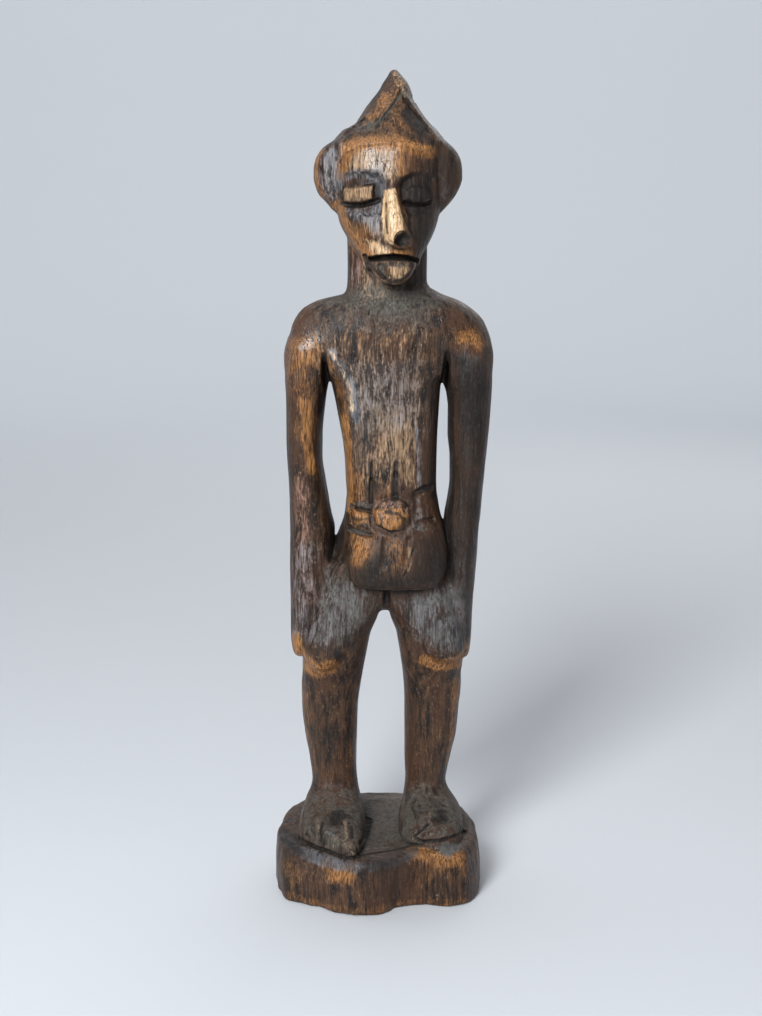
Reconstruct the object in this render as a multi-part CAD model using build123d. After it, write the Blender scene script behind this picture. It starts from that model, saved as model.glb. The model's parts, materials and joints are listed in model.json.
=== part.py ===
"""Standing carved wooden figure, 230 mm tall, on its own round pedestal.

The figure is cut from one round billet with the grain upright. Each piece is one carved region of
the billet, and neighbouring regions meet face to face with no gap, pin or glue line.

Frame: millimetres, +Z up along the billet, the figure faces -Y and its own left hand is towards +X.
Left and right are always the figure's own. The origin lies on the flat underside of the pedestal,
at the middle of its width.
"""
from build123d import *
import math
import os

os.makedirs("parts", exist_ok=True)

# ---------------------------------------------------------------- heights shared by pieces
PEDESTAL_HEIGHT = 17.0        # underside to the flat on which the feet stand
ANKLE_Z = 28.0                # foot / leg
CROTCH_Z = 83.0               # leg / hips
WAIST_Z = 105.0               # hips / abdomen, behind the belly
RIB_Z = 123.0                 # abdomen / chest
YOKE_Z = 149.0                # armpits: arms and chest join above
NECK_Z = 171.5                # chest / neck
HAIRLINE_Z = 209.5            # head / crest
TOTAL_HEIGHT = 230.0          # tip of the crest

# ---------------------------------------------------------------- planes that part the pieces
RIGHT_SHOULDER_X, LEFT_SHOULDER_X = -14.2, 18.6   # chest / arm
RIGHT_EAR_X, LEFT_EAR_X = -12.6, 18.2             # head / ear lobe
# the arms lie against the body on two slanting planes, each given by two (x, z) points
RIGHT_ARM_LINE = ((-11.2, 105.0), (-20.6, 70.0))
LEFT_ARM_LINE = ((18.4, 108.0), (24.7, 70.0))
# below these heights the arms are trimmed at the slanting planes
RIGHT_ARM_SLANT_TOP_Z, LEFT_ARM_SLANT_TOP_Z = 106.5, 109.5
LEG_TRIM_BOTTOM_Z = 66.0      # above this the legs are trimmed at the slanting planes
SHOULDER_TRIM_BOTTOM_Z = 139.0  # above this the arms stop at the shoulder planes
# the jaw overhangs the throat: two planes through these (y, z) points part head and neck
JAW_LINE = ((-11.0, 173.2), (4.0, 187.6), (30.0, 192.1))

# ---------------------------------------------------------------- pedestal
PEDESTAL_EDGE = 1.6                         # height and inset of the lower rounded edge
UPPER_EDGE_HEIGHT = 1.5 * PEDESTAL_EDGE
UPPER_EDGE_INSET = 1.4 * PEDESTAL_EDGE
# outlines in plan, (x, y), of the lower part and of the top
PEDESTAL_FOOT = [
    (-29.7, -2.7), (-28.9, -9.3), (-27.2, -14.6), (-22.3, -17.7), (-16.4, -20.3),
    (-10.7, -24.2), (-6.3, -25.5), (-1.9, -25.2), (1.0, -24.2), (5.4, -21.2), (10.4, -19.4),
    (15.2, -19.1), (20.6, -20.0), (25.4, -18.4), (28.0, -14.2), (29.3, -7.6),
    (29.7, 0.4), (29.0, 9.0), (26.8, 17.0), (21.8, 23.2), (14.0, 26.8),
    (5.0, 28.4), (-5.0, 28.4), (-14.2, 26.6), (-22.0, 22.0), (-26.8, 14.8), (-29.2, 6.0)]
PEDESTAL_TOP = [
    (-29.0, -3.0), (-27.8, -8.2), (-25.0, -12.6), (-20.4, -16.0), (-15.0, -19.4),
    (-9.8, -23.4), (-4.8, -25.6), (1.0, -25.4), (6.4, -23.0), (10.8, -20.6),
    (15.4, -19.4), (20.4, -19.0), (24.6, -17.0), (27.4, -12.6), (28.6, -6.4),
    (28.8, 0.6), (27.8, 8.8), (25.4, 16.4), (20.6, 22.6), (13.6, 26.6),
    (5.0, 28.2), (-5.0, 28.2), (-13.8, 26.4), (-21.2, 21.8), (-26.0, 14.4), (-28.6, 5.4)]

# ---------------------------------------------------------------- station tables
# each row: z, x low, x high, y front, y back, squareness of the section (2 is an ellipse)
RIGHT_FOOT = [
    (PEDESTAL_HEIGHT, -22.8, -3.5, -27.1, 13.9, 2.8), (19.4, -22.4, -3.7, -25.4, 14.2, 2.8),
    (21.2, -21.8, -4.2, -20.5, 14.2, 2.7), (23.6, -20.9, -5.0, -11.8, 13.8, 2.5),
    (26.0, -19.7, -5.7, -5.0, 13.4, 2.3), (ANKLE_Z, -19.2, -6.1, -1.6, 13.0, 2.3)]
LEFT_FOOT = [
    (PEDESTAL_HEIGHT, 6.3, 25.0, -17.3, 13.9, 2.7), (19.4, 6.5, 24.6, -16.6, 14.2, 2.7),
    (21.2, 6.9, 23.8, -14.4, 14.2, 2.6), (23.6, 7.5, 22.2, -9.6, 13.8, 2.5),
    (26.0, 8.1, 20.6, -4.6, 13.4, 2.3), (ANKLE_Z, 8.3, 20.0, -1.6, 13.0, 2.3)]
# the shin stations run on inside the thigh up to the hips
RIGHT_SHIN = [
    (ANKLE_Z, -19.2, -6.1, -1.0, 13.0, 2.3), (35.8, -20.0, -6.3, -0.6, 14.6, 2.3),
    (43.2, -21.3, -6.1, -0.8, 16.2, 2.3), (50.5, -22.1, -5.8, -1.4, 16.9, 2.3),
    (57.8, -22.2, -4.9, -2.6, 15.8, 2.3), (62.0, -21.8, -4.2, -3.8, 14.6, 2.3),
    (66.6, -21.6, -3.4, -5.4, 13.6, 2.3), (71.0, -21.0, -2.7, -6.8, 13.4, 2.3),
    (75.0, -20.4, -1.9, -7.4, 13.8, 2.3), (79.0, -19.8, -0.2, -7.7, 14.6, 2.3),
    (CROTCH_Z, -19.3, 0.9, -7.4, 15.3, 2.3)]
LEFT_SHIN = [
    (ANKLE_Z, 8.3, 20.0, -1.0, 13.0, 2.3), (35.8, 8.0, 21.3, -0.6, 14.6, 2.3),
    (43.2, 8.0, 23.1, -0.8, 16.2, 2.3), (50.5, 7.9, 23.7, -1.4, 16.9, 2.3),
    (57.8, 7.7, 24.4, -2.6, 15.8, 2.3), (62.0, 7.3, 24.3, -3.8, 14.6, 2.3),
    (66.6, 6.7, 24.6, -5.4, 13.6, 2.3), (71.0, 6.1, 24.6, -6.8, 13.4, 2.3),
    (75.0, 5.4, 24.4, -7.4, 13.8, 2.3), (79.0, 3.9, 24.2, -7.7, 14.6, 2.3),
    (CROTCH_Z, 2.6, 23.7, -7.4, 15.3, 2.3)]
# the thigh stands proud of the shin and ends in a ledge above the knee, on its outer side
RIGHT_THIGH = [
    (65.6, -18.4, -12.7, -6.8, 3.9, 2.3), (66.8, -19.8, -11.2, -8.2, 8.2, 2.3),
    (68.6, -21.1, -9.6, -9.0, 11.2, 2.3), (71.0, -21.8, -7.6, -9.4, 12.8, 2.3),
    (75.0, -21.5, -4.4, -9.2, 14.2, 2.3), (79.0, -20.8, -1.2, -8.8, 15.6, 2.3),
    (CROTCH_Z, -19.8, 2.0, -8.2, 17.2, 2.3)]
LEFT_THIGH = [
    (68.4, 15.3, 22.9, -6.8, 3.7, 2.3), (69.6, 13.8, 24.3, -8.2, 8.0, 2.3),
    (71.4, 12.0, 25.0, -9.0, 11.4, 2.3), (74.0, 9.6, 25.3, -9.3, 13.0, 2.3),
    (77.0, 7.4, 25.1, -9.0, 14.8, 2.3), (80.0, 5.0, 24.7, -8.7, 16.0, 2.3),
    (CROTCH_Z, 2.6, 24.1, -8.2, 17.0, 2.3)]
HIPS = [
    (CROTCH_Z, -19.4, 24.0, -8.0, 16.8, 2.7), (88.0, -18.1, 22.9, -7.4, 19.2, 2.7),
    (94.0, -15.8, 21.5, -6.8, 20.2, 2.6), (100.0, -13.2, 20.2, -6.6, 18.8, 2.5),
    (WAIST_Z, -10.4, 18.4, -8.4, 16.6, 2.4)]
# the bulge at the front that hangs over the waist
BELLY = [
    (90.2, -4.6, 15.2, -10.6, 3.0, 2.6), (91.2, -6.8, 17.2, -13.0, 5.0, 2.6),
    (93.4, -8.4, 18.6, -14.5, 6.0, 2.5), (97.0, -9.2, 19.5, -15.0, 7.0, 2.5),
    (101.0, -9.4, 19.7, -14.5, 8.0, 2.5), (105.5, -9.4, 19.0, -13.2, 9.0, 2.5),
    (110.0, -9.0, 17.5, -11.6, 9.0, 2.5)]
ABDOMEN = [
    (WAIST_Z, -10.4, 18.4, -9.4, 16.6, 2.4), (109.7, -8.9, 17.1, -10.0, 15.6, 2.5),
    (114.0, -8.6, 16.7, -9.7, 14.8, 2.5), (119.0, -8.8, 16.5, -9.2, 14.2, 2.6),
    (RIB_Z, -9.0, 16.6, -9.0, 14.0, 2.7)]
CHEST = [
    ABDOMEN[-1], (130.0, -9.6, 16.7, -8.9, 14.1, 2.9),
    (137.0, -10.6, 16.8, -9.1, 14.4, 3.1), (143.6, -11.8, 17.1, -9.6, 15.0, 3.1),
    (YOKE_Z, -14.2, 18.6, -9.4, 14.4, 3.1)]
# the full width across the shoulders, shared out between chest and arms
YOKE = [
    (YOKE_Z, -25.7, 31.8, -8.9, 13.8, 3.0), (154.3, -25.8, 31.8, -9.8, 14.9, 3.0),
    (158.4, -24.9, 31.2, -9.8, 15.0, 2.8), (162.8, -23.4, 29.6, -9.5, 15.0, 2.6),
    (167.0, -20.5, 25.9, -8.5, 14.8, 2.4), (169.0, -16.4, 22.6, -7.7, 14.5, 2.3),
    (NECK_Z, -8.6, 15.8, -6.5, 14.3, 2.2)]
RIGHT_ARM = [
    (67.6, -22.8, -20.6, 0.8, 4.8, 2.2), (68.8, -24.0, -19.8, -2.0, 7.1, 2.2),
    (72.5, -24.7, -18.3, -3.9, 8.9, 2.3), (82.0, -24.8, -15.4, -4.9, 10.2, 2.3),
    (96.0, -24.9, -12.6, -5.3, 10.9, 2.3), (110.0, -24.8, -13.2, -5.4, 11.4, 2.3),
    (125.0, -25.1, -15.5, -5.6, 11.6, 2.3), (137.0, -25.4, -15.0, -6.2, 12.0, 2.3),
    (144.0, -25.5, -14.1, -7.6, 12.8, 2.3), (YOKE_Z, -25.7, -12.4, -8.7, 13.6, 2.5)]
LEFT_ARM = [
    (67.6, 23.2, 25.6, 0.6, 4.9, 2.2), (68.8, 22.6, 26.2, -2.0, 7.1, 2.2),
    (72.5, 22.0, 26.7, -3.9, 8.9, 2.3), (82.0, 20.4, 27.1, -4.9, 10.2, 2.3),
    (96.0, 19.0, 28.1, -5.3, 10.9, 2.3), (110.0, 19.0, 29.2, -5.4, 11.4, 2.3),
    (125.0, 20.2, 30.4, -5.6, 11.6, 2.3), (137.0, 19.6, 31.4, -6.2, 12.0, 2.3),
    (144.0, 19.1, 31.7, -7.6, 12.8, 2.3), (YOKE_Z, 17.0, 31.8, -8.7, 13.6, 2.5)]
NECK = [
    (NECK_Z, -8.4, 14.0, -6.4, 14.2, 2.2), (176.0, -8.1, 13.6, -6.1, 13.8, 2.2),
    (183.0, -8.2, 13.7, -6.0, 13.6, 2.2), (192.0, -8.3, 13.8, -6.0, 13.7, 2.2)]
HEAD = [
    (172.8, 1.4, 7.3, -11.3, -1.7, 2.2), (173.8, -0.6, 8.9, -12.8, 0.0, 2.3),
    (175.6, -2.4, 10.2, -13.9, 3.0, 2.3), (178.0, -3.5, 11.0, -14.4, 6.0, 2.2),
    (181.3, -4.9, 11.9, -14.4, 10.0, 2.1), (185.0, -7.3, 13.9, -13.9, 13.5, 2.1),
    (190.0, -10.1, 16.0, -13.5, 17.0, 2.2), (195.0, -11.4, 17.1, -13.1, 19.4, 2.2),
    (200.0, -12.0, 17.7, -12.9, 20.6, 2.2), (205.0, -12.4, 18.1, -12.5, 20.4, 2.2),
    (HAIRLINE_Z, -12.4, 18.2, -11.6, 19.5, 2.2)]
CREST = [
    (HAIRLINE_Z, -14.8, 20.6, -12.0, 19.6, 2.1), (212.4, -11.0, 17.4, -10.9, 18.6, 2.1),
    (216.5, -5.9, 14.0, -8.9, 16.8, 2.0), (220.6, -3.0, 11.1, -6.2, 14.8, 2.0),
    (224.7, 0.2, 9.2, -3.4, 12.4, 2.0), (228.0, 2.4, 7.2, -0.8, 9.8, 2.0),
    (TOTAL_HEIGHT, 3.7, 5.4, 1.8, 6.8, 2.0)]
# the inner ends of the ears lie inside the head and are shared out by the ear planes
RIGHT_EAR = [
    (193.0, -11.8, -6.0, 0.0, 5.0, 2.0), (195.0, -13.4, -6.0, -2.2, 7.3, 2.0),
    (197.0, -15.2, -6.0, -3.4, 8.8, 2.0), (200.0, -16.6, -5.4, -4.5, 10.1, 2.0),
    (203.0, -17.0, -5.0, -5.1, 10.8, 2.0), (206.0, -16.7, -5.0, -5.5, 11.2, 2.0),
    (HAIRLINE_Z, -14.8, -3.4, -6.4, 11.1, 2.0)]
LEFT_EAR = [
    (193.0, 12.0, 17.4, 0.0, 5.0, 2.0), (195.0, 12.0, 19.2, -2.2, 7.3, 2.0),
    (197.0, 12.0, 20.8, -3.4, 8.8, 2.0), (200.0, 11.4, 22.3, -4.5, 10.1, 2.0),
    (203.0, 11.0, 22.7, -5.1, 10.8, 2.0), (206.0, 11.0, 22.4, -5.5, 11.2, 2.0),
    (HAIRLINE_Z, 9.4, 20.6, -6.4, 11.1, 2.0)]
NOSE = [
    (184.0, 3.4, 8.5, -15.3, -9.0, 2.2), (185.4, 2.1, 9.3, -17.2, -9.0, 2.4),
    (188.2, 1.6, 8.7, -17.9, -9.0, 2.4), (192.0, 1.8, 7.3, -16.7, -9.0, 2.4),
    (196.0, 2.0, 6.2, -15.4, -9.0, 2.4), (200.0, 2.4, 5.2, -14.1, -9.0, 2.3),
    (204.0, 2.8, 4.7, -12.7, -9.0, 2.2)]

# ---------------------------------------------------------------- small features
# the front of the right foot is cut off slantwise: a plan point of the cut, and the plan
# direction from the cut into the wood that stays
TOE_CUT_POINT, TOE_CUT_INWARD = (-22.4, -11.0), (0.66, 0.75)
# round hollows: centre, radius
RIGHT_FOOT_PIT = ((-12.3, -13.6, 24.2), 2.7)
LEFT_FOOT_PIT = ((18.6, -12.4, 23.6), 2.4)
NOSTRIL = ((6.5, -17.2, 186.2), 2.15)       # broken nostril
# the mouth groove: its (x, z) run seen from the front, and the tool radius
MOUTH_RUN = [(-1.8, 181.0), (1.0, 181.5), (4.4, 181.8), (7.8, 181.4), (10.2, 180.7)]
MOUTH_TOOL = 0.85
# the navel disc
NAVEL_X, NAVEL_Z, NAVEL_RADIUS = 4.3, 111.7, 4.8
NAVEL_BACK_Y, NAVEL_FRONT_Y = -9.0, -12.0

SECTION_POINTS = 20           # spline points round each section
HALF_SPACE_SIZE = 1200.0
FROM_BASE = (Align.CENTER, Align.CENTER, Align.MIN)


# ---------------------------------------------------------------- lofts
def closed_spline(points):
    return Wire([Edge.make_spline([Vector(*p) for p in points], periodic=True)])


def section(row):
    """Horizontal squared ellipse of one station row."""
    z, x_low, x_high, y_front, y_back, squareness = row
    mid_x, mid_y = (x_low + x_high) / 2, (y_front + y_back) / 2
    radius_x, radius_y = (x_high - x_low) / 2, (y_back - y_front) / 2
    points = []
    for i in range(SECTION_POINTS):
        angle = 2 * math.pi * i / SECTION_POINTS
        cosine, sine = math.cos(angle), math.sin(angle)
        points.append((mid_x + radius_x * math.copysign(abs(cosine) ** (2 / squareness), cosine),
                       mid_y + radius_y * math.copysign(abs(sine) ** (2 / squareness), sine),
                       z))
    return closed_spline(points)


def limb(rows):
    return Solid.make_loft([section(row) for row in rows], ruled=False)


def outline(points, z):
    return closed_spline([(x, y, z) for x, y in points])


def shrink(points, inset):
    """The outline with every point moved towards its middle by a fixed amount."""
    mid_x = sum(p[0] for p in points) / len(points)
    mid_y = sum(p[1] for p in points) / len(points)
    moved = []
    for x, y in points:
        scale = 1 - inset / math.hypot(x - mid_x, y - mid_y)
        moved.append((mid_x + (x - mid_x) * scale, mid_y + (y - mid_y) * scale))
    return moved


# ---------------------------------------------------------------- half spaces and cutters
def half_space(origin, normal):
    """Very large block with one face through origin, on the side normal points to."""
    size = HALF_SPACE_SIZE
    return Plane(origin=origin, z_dir=normal) * Box(size, size, size, align=FROM_BASE)


def above(z):
    return half_space((0, 0, z), (0, 0, 1))


def below(z):
    return half_space((0, 0, z), (0, 0, -1))


def left_of(x):
    """The +X side."""
    return half_space((x, 0, 0), (1, 0, 0))


def right_of(x):
    """The -X side."""
    return half_space((x, 0, 0), (-1, 0, 0))


def beside_arm_line(line, side):
    """Half space on the +X (1) or -X (-1) side of the plane along Y through two (x, z) points."""
    (xa, za), (xb, zb) = line
    normal = Vector(zb - za, 0, xa - xb).normalized()
    if normal.X * side < 0:
        normal = normal * -1
    return half_space((xa, 0, za), normal)


def below_jaw(start, end):
    """Half space below the plane along X through two (y, z) points, start in front of end."""
    (ya, za), (yb, zb) = start, end
    return half_space((0, ya, za), Vector(0, zb - za, ya - yb).normalized())


def solid_of(shape):
    """The largest solid of a boolean result."""
    return max(shape.solids(), key=lambda solid: solid.volume)


def ball(centre, radius):
    return Pos(*centre) * Sphere(radius)


def front_y(rows, x, z):
    """Front face of a stack of sections at a given x and z."""
    for low, high in zip(rows[:-1], rows[1:]):
        if low[0] <= z <= high[0]:
            t = (z - low[0]) / (high[0] - low[0])
            _, x_low, x_high, y_front, y_back, squareness = (
                a + (b - a) * t for a, b in zip(low, high))
            across = min(abs(x - (x_low + x_high) / 2) / ((x_high - x_low) / 2), 0.999)
            bulge = (1 - across ** squareness) ** (1 / squareness)
            return (y_front + y_back) / 2 - (y_back - y_front) / 2 * bulge
    raise ValueError("height outside the rows")


def groove_cutter(rows, run, radius):
    """Chain of rods and balls along an (x, z) run on the front of a stack of sections."""
    points = [Vector(x, front_y(rows, x, z), z) for x, z in run]
    cutter = ball(points[0], radius)
    for start, end in zip(points[:-1], points[1:]):
        along = end - start
        rod = Plane(origin=start, z_dir=along) * Cylinder(radius, along.length, align=FROM_BASE)
        cutter = cutter + rod + ball(end, radius)
    return cutter


# ---------------------------------------------------------------- pedestal, feet and legs
def make_pedestal():
    return Solid.make_loft([
        outline(shrink(PEDESTAL_FOOT, PEDESTAL_EDGE), 0.0),
        outline(PEDESTAL_FOOT, PEDESTAL_EDGE),
        outline(PEDESTAL_FOOT, PEDESTAL_HEIGHT / 2),
        outline(PEDESTAL_TOP, PEDESTAL_HEIGHT - UPPER_EDGE_HEIGHT),
        outline(shrink(PEDESTAL_TOP, UPPER_EDGE_INSET), PEDESTAL_HEIGHT)], ruled=False)


def make_right_foot():
    toe_keep = half_space((*TOE_CUT_POINT, 0), (*TOE_CUT_INWARD, 0))
    return solid_of((limb(RIGHT_FOOT) & toe_keep) - ball(*RIGHT_FOOT_PIT))


def make_left_foot():
    return solid_of(limb(LEFT_FOOT) - ball(*LEFT_FOOT_PIT))


def make_leg(shin, thigh, arm_side):
    leg = solid_of(limb(shin) + limb(thigh))
    return solid_of(leg - (arm_side & above(LEG_TRIM_BOTTOM_Z)))


# ---------------------------------------------------------------- trunk and arms
right_body_side = beside_arm_line(RIGHT_ARM_LINE, +1)
left_body_side = beside_arm_line(LEFT_ARM_LINE, -1)
belly = limb(BELLY) & right_body_side & left_body_side
yoke = limb(YOKE)


def make_hips():
    return solid_of((limb(HIPS) & right_body_side & left_body_side) - belly)


def make_abdomen():
    trunk = solid_of((limb(ABDOMEN) & right_body_side & left_body_side) + belly)
    navel_plane = Plane(origin=(NAVEL_X, NAVEL_BACK_Y, NAVEL_Z), z_dir=(0, -1, 0))
    navel = navel_plane * Cylinder(NAVEL_RADIUS, NAVEL_BACK_Y - NAVEL_FRONT_Y, align=FROM_BASE)
    return solid_of(trunk + navel)


def make_chest():
    inside_right, inside_left = left_of(RIGHT_SHOULDER_X), right_of(LEFT_SHOULDER_X)
    top = yoke & inside_right & inside_left
    return solid_of(top + solid_of(limb(CHEST) & (inside_right & inside_left)))


def make_arm(rows, beside_chest, body_side, slant_top_z):
    """Arm below the yoke, trimmed against chest and hips, joined to its end of the yoke."""
    cap = yoke & beside_chest
    arm = limb(rows) - (above(SHOULDER_TRIM_BOTTOM_Z) - beside_chest)
    arm = arm - (body_side & below(slant_top_z))
    return solid_of(cap + solid_of(arm))


# ---------------------------------------------------------------- neck, head and ears
throat = below_jaw(JAW_LINE[0], JAW_LINE[1]) & below_jaw(JAW_LINE[1], JAW_LINE[2])
skull = solid_of(limb(HEAD) + limb(RIGHT_EAR) + limb(LEFT_EAR)) - throat


def make_head():
    between_ears = left_of(RIGHT_EAR_X) & right_of(LEFT_EAR_X)
    face = solid_of(solid_of(skull & between_ears) + limb(NOSE))
    face = solid_of(face - groove_cutter(HEAD, MOUTH_RUN, MOUTH_TOOL))
    return solid_of(face - ball(*NOSTRIL))


PIECES = {
    "pedestal": make_pedestal(),
    "right_foot": make_right_foot(),
    "left_foot": make_left_foot(),
    "right_leg": make_leg(RIGHT_SHIN, RIGHT_THIGH, beside_arm_line(RIGHT_ARM_LINE, -1)),
    "left_leg": make_leg(LEFT_SHIN, LEFT_THIGH, beside_arm_line(LEFT_ARM_LINE, +1)),
    "hips": make_hips(),
    "abdomen": make_abdomen(),
    "chest": make_chest(),
    "right_arm": make_arm(RIGHT_ARM, right_of(RIGHT_SHOULDER_X), right_body_side,
                          RIGHT_ARM_SLANT_TOP_Z),
    "left_arm": make_arm(LEFT_ARM, left_of(LEFT_SHOULDER_X), left_body_side,
                         LEFT_ARM_SLANT_TOP_Z),
    "neck": solid_of(limb(NECK) & throat),
    "head": make_head(),
    "right_ear_lobe": solid_of(skull & right_of(RIGHT_EAR_X)),
    "left_ear_lobe": solid_of(skull & left_of(LEFT_EAR_X)),
    "coiffure_crest": limb(CREST),
}
for name, piece in PIECES.items():
    export_step(piece, f"parts/{name}.step")
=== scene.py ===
"""Standing carved wooden figure on its round pedestal: the look of the part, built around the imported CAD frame.

The carving is one signed-distance sculpt turned into a single mesh. That mesh is then divided on the same flat
boundaries as the CAD nodes, so each CAD node has its own closed piece and no boundary shows on the surface.
"""
import json
import math
import sys

import bpy
from mathutils import Vector
import numpy as np
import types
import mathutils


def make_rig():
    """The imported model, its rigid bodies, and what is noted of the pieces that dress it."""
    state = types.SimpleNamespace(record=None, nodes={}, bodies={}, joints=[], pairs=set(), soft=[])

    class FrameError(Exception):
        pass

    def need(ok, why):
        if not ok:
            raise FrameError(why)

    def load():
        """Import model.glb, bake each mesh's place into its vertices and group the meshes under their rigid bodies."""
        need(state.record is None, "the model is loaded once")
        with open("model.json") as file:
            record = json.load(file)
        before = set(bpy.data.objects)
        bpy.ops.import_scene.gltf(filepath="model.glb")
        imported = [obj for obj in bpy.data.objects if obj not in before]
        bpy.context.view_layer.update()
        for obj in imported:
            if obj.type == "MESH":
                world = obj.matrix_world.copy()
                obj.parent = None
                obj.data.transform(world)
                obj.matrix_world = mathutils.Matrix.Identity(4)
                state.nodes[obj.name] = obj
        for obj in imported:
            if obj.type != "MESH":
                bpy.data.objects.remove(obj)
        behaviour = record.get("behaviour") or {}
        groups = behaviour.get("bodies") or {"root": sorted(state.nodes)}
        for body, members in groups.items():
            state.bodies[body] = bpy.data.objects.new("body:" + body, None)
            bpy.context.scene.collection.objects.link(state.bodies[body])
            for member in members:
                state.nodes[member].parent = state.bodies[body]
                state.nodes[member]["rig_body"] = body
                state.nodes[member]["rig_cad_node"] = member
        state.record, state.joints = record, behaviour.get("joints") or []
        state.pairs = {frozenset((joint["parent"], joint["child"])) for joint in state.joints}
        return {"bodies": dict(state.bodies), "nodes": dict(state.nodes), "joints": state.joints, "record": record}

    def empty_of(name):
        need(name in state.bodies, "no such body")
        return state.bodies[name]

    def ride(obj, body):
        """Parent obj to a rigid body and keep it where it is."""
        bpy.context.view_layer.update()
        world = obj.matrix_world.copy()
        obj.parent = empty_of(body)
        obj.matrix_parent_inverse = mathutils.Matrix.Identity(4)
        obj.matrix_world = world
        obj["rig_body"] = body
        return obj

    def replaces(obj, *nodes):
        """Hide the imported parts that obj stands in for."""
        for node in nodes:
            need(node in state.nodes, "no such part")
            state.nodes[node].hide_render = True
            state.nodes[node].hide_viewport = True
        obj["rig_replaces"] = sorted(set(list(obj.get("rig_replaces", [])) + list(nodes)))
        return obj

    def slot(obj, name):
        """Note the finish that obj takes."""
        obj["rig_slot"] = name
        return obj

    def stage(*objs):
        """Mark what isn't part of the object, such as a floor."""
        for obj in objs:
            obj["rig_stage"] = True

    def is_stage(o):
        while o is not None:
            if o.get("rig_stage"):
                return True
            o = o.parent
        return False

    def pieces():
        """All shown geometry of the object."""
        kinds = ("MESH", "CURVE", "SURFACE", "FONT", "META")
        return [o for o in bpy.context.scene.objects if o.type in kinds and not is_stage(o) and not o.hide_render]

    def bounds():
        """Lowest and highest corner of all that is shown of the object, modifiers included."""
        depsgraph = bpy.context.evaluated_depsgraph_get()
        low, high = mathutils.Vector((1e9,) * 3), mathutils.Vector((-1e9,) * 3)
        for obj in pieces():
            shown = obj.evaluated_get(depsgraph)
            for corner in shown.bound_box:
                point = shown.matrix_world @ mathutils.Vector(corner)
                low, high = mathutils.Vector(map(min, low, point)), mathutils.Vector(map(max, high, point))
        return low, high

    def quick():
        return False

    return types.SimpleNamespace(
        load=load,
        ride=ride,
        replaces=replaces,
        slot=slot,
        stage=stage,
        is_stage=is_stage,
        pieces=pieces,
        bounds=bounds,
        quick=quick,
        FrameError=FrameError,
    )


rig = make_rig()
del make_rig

# ================================================================ sculpt: signed distance of the carving, in mm
F4 = np.float32


def sstep(a, b, x):
    t = np.clip((x - a) / (b - a), 0.0, 1.0)
    return t * t * (3.0 - 2.0 * t)


def smin(a, b, k):
    h = np.maximum(k - np.abs(a - b), 0.0) / k
    return np.minimum(a, b) - h * h * (k * 0.25)


def smax(a, b, k):
    return -smin(-a, -b, k)


def pchip_table(rows, dz=0.1):
    """Dense monotone-cubic table of every column of the rows against their first column."""
    rows = np.array(rows, float)
    z, y = rows[:, 0], rows[:, 1:]
    h = np.diff(z)[:, None]
    s = np.diff(y, axis=0) / h
    m = np.zeros_like(y)
    w1, w2 = 2 * h[1:] + h[:-1], h[1:] + 2 * h[:-1]
    with np.errstate(divide="ignore", invalid="ignore"):
        hm = (w1 + w2) / (w1 / s[:-1] + w2 / s[1:])
    m[1:-1] = np.where(s[:-1] * s[1:] > 0, hm, 0.0)
    m[0], m[-1] = s[0], s[-1]
    n = int(round((z[-1] - z[0]) / dz)) + 1
    zz = np.linspace(z[0], z[-1], n)
    i = np.clip(np.searchsorted(z, zz, side="right") - 1, 0, len(z) - 2)
    hh = (z[i + 1] - z[i])[:, None]
    t = ((zz - z[i])[:, None]) / hh
    out = ((1 + 2 * t) * (1 - t) ** 2 * y[i] + t * (1 - t) ** 2 * hh * m[i]
           + t * t * (3 - 2 * t) * y[i + 1] + t * t * (t - 1) * hh * m[i + 1])
    return z[0], z[-1], (z[-1] - z[0]) / (n - 1), out.astype(F4)


def lut(tab, z):
    z0, z1, dz, out = tab
    u = np.clip((z - z0) / dz, 0, len(out) - 1.001)
    i = u.astype(np.int32)
    f = (u - i)[:, None].astype(F4)
    return out[i] * (1 - f) + out[i + 1] * f


class Limb:
    """Stack of squared-ellipse sections. Row: z, x low, x high, y front, y back, front power, back power, where
    the widest line lies between front (0) and back (1). The ends are rounded off by ke."""

    def __init__(self, rows, ke=1.5, pad=5.0):
        full = []
        for r in rows:
            r = list(r)
            if len(r) == 5:
                r += [2.3, 2.3, 0.5]
            elif len(r) == 6:
                r += [r[5], 0.5]
            elif len(r) == 7:
                r += [0.5]
            full.append(r)
        a = np.array(full)
        self.tab = pchip_table(full)
        self.ke = ke
        self.lo = np.array([a[:, 1].min() - pad, a[:, 3].min() - pad, a[0, 0] - pad])
        self.hi = np.array([a[:, 2].max() + pad, a[:, 4].max() + pad, a[-1, 0] + pad])

    def __call__(self, x, y, z):
        R = lut(self.tab, z)
        xl, xr, yf, yb, nf, nb, cf = R.T
        rx = (xr - xl) * 0.5
        px = x - (xl + xr) * 0.5
        cy = yf + cf * (yb - yf)
        py = y - cy
        front = py < 0
        ry = np.where(front, cy - yf, yb - cy)
        n = np.where(front, nf, nb)
        q = (np.abs(px) / rx + 1e-6) ** n + (np.abs(py) / np.maximum(ry, 0.05) + 1e-6) ** n
        s = q ** (1.0 / n)
        r = np.sqrt(px * px + py * py) + 1e-4
        d = r * (1.0 - 1.0 / np.maximum(s, 1e-4))
        d = smax(d, self.tab[0] - z, self.ke)
        return smax(d, z - self.tab[1], self.ke)


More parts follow.
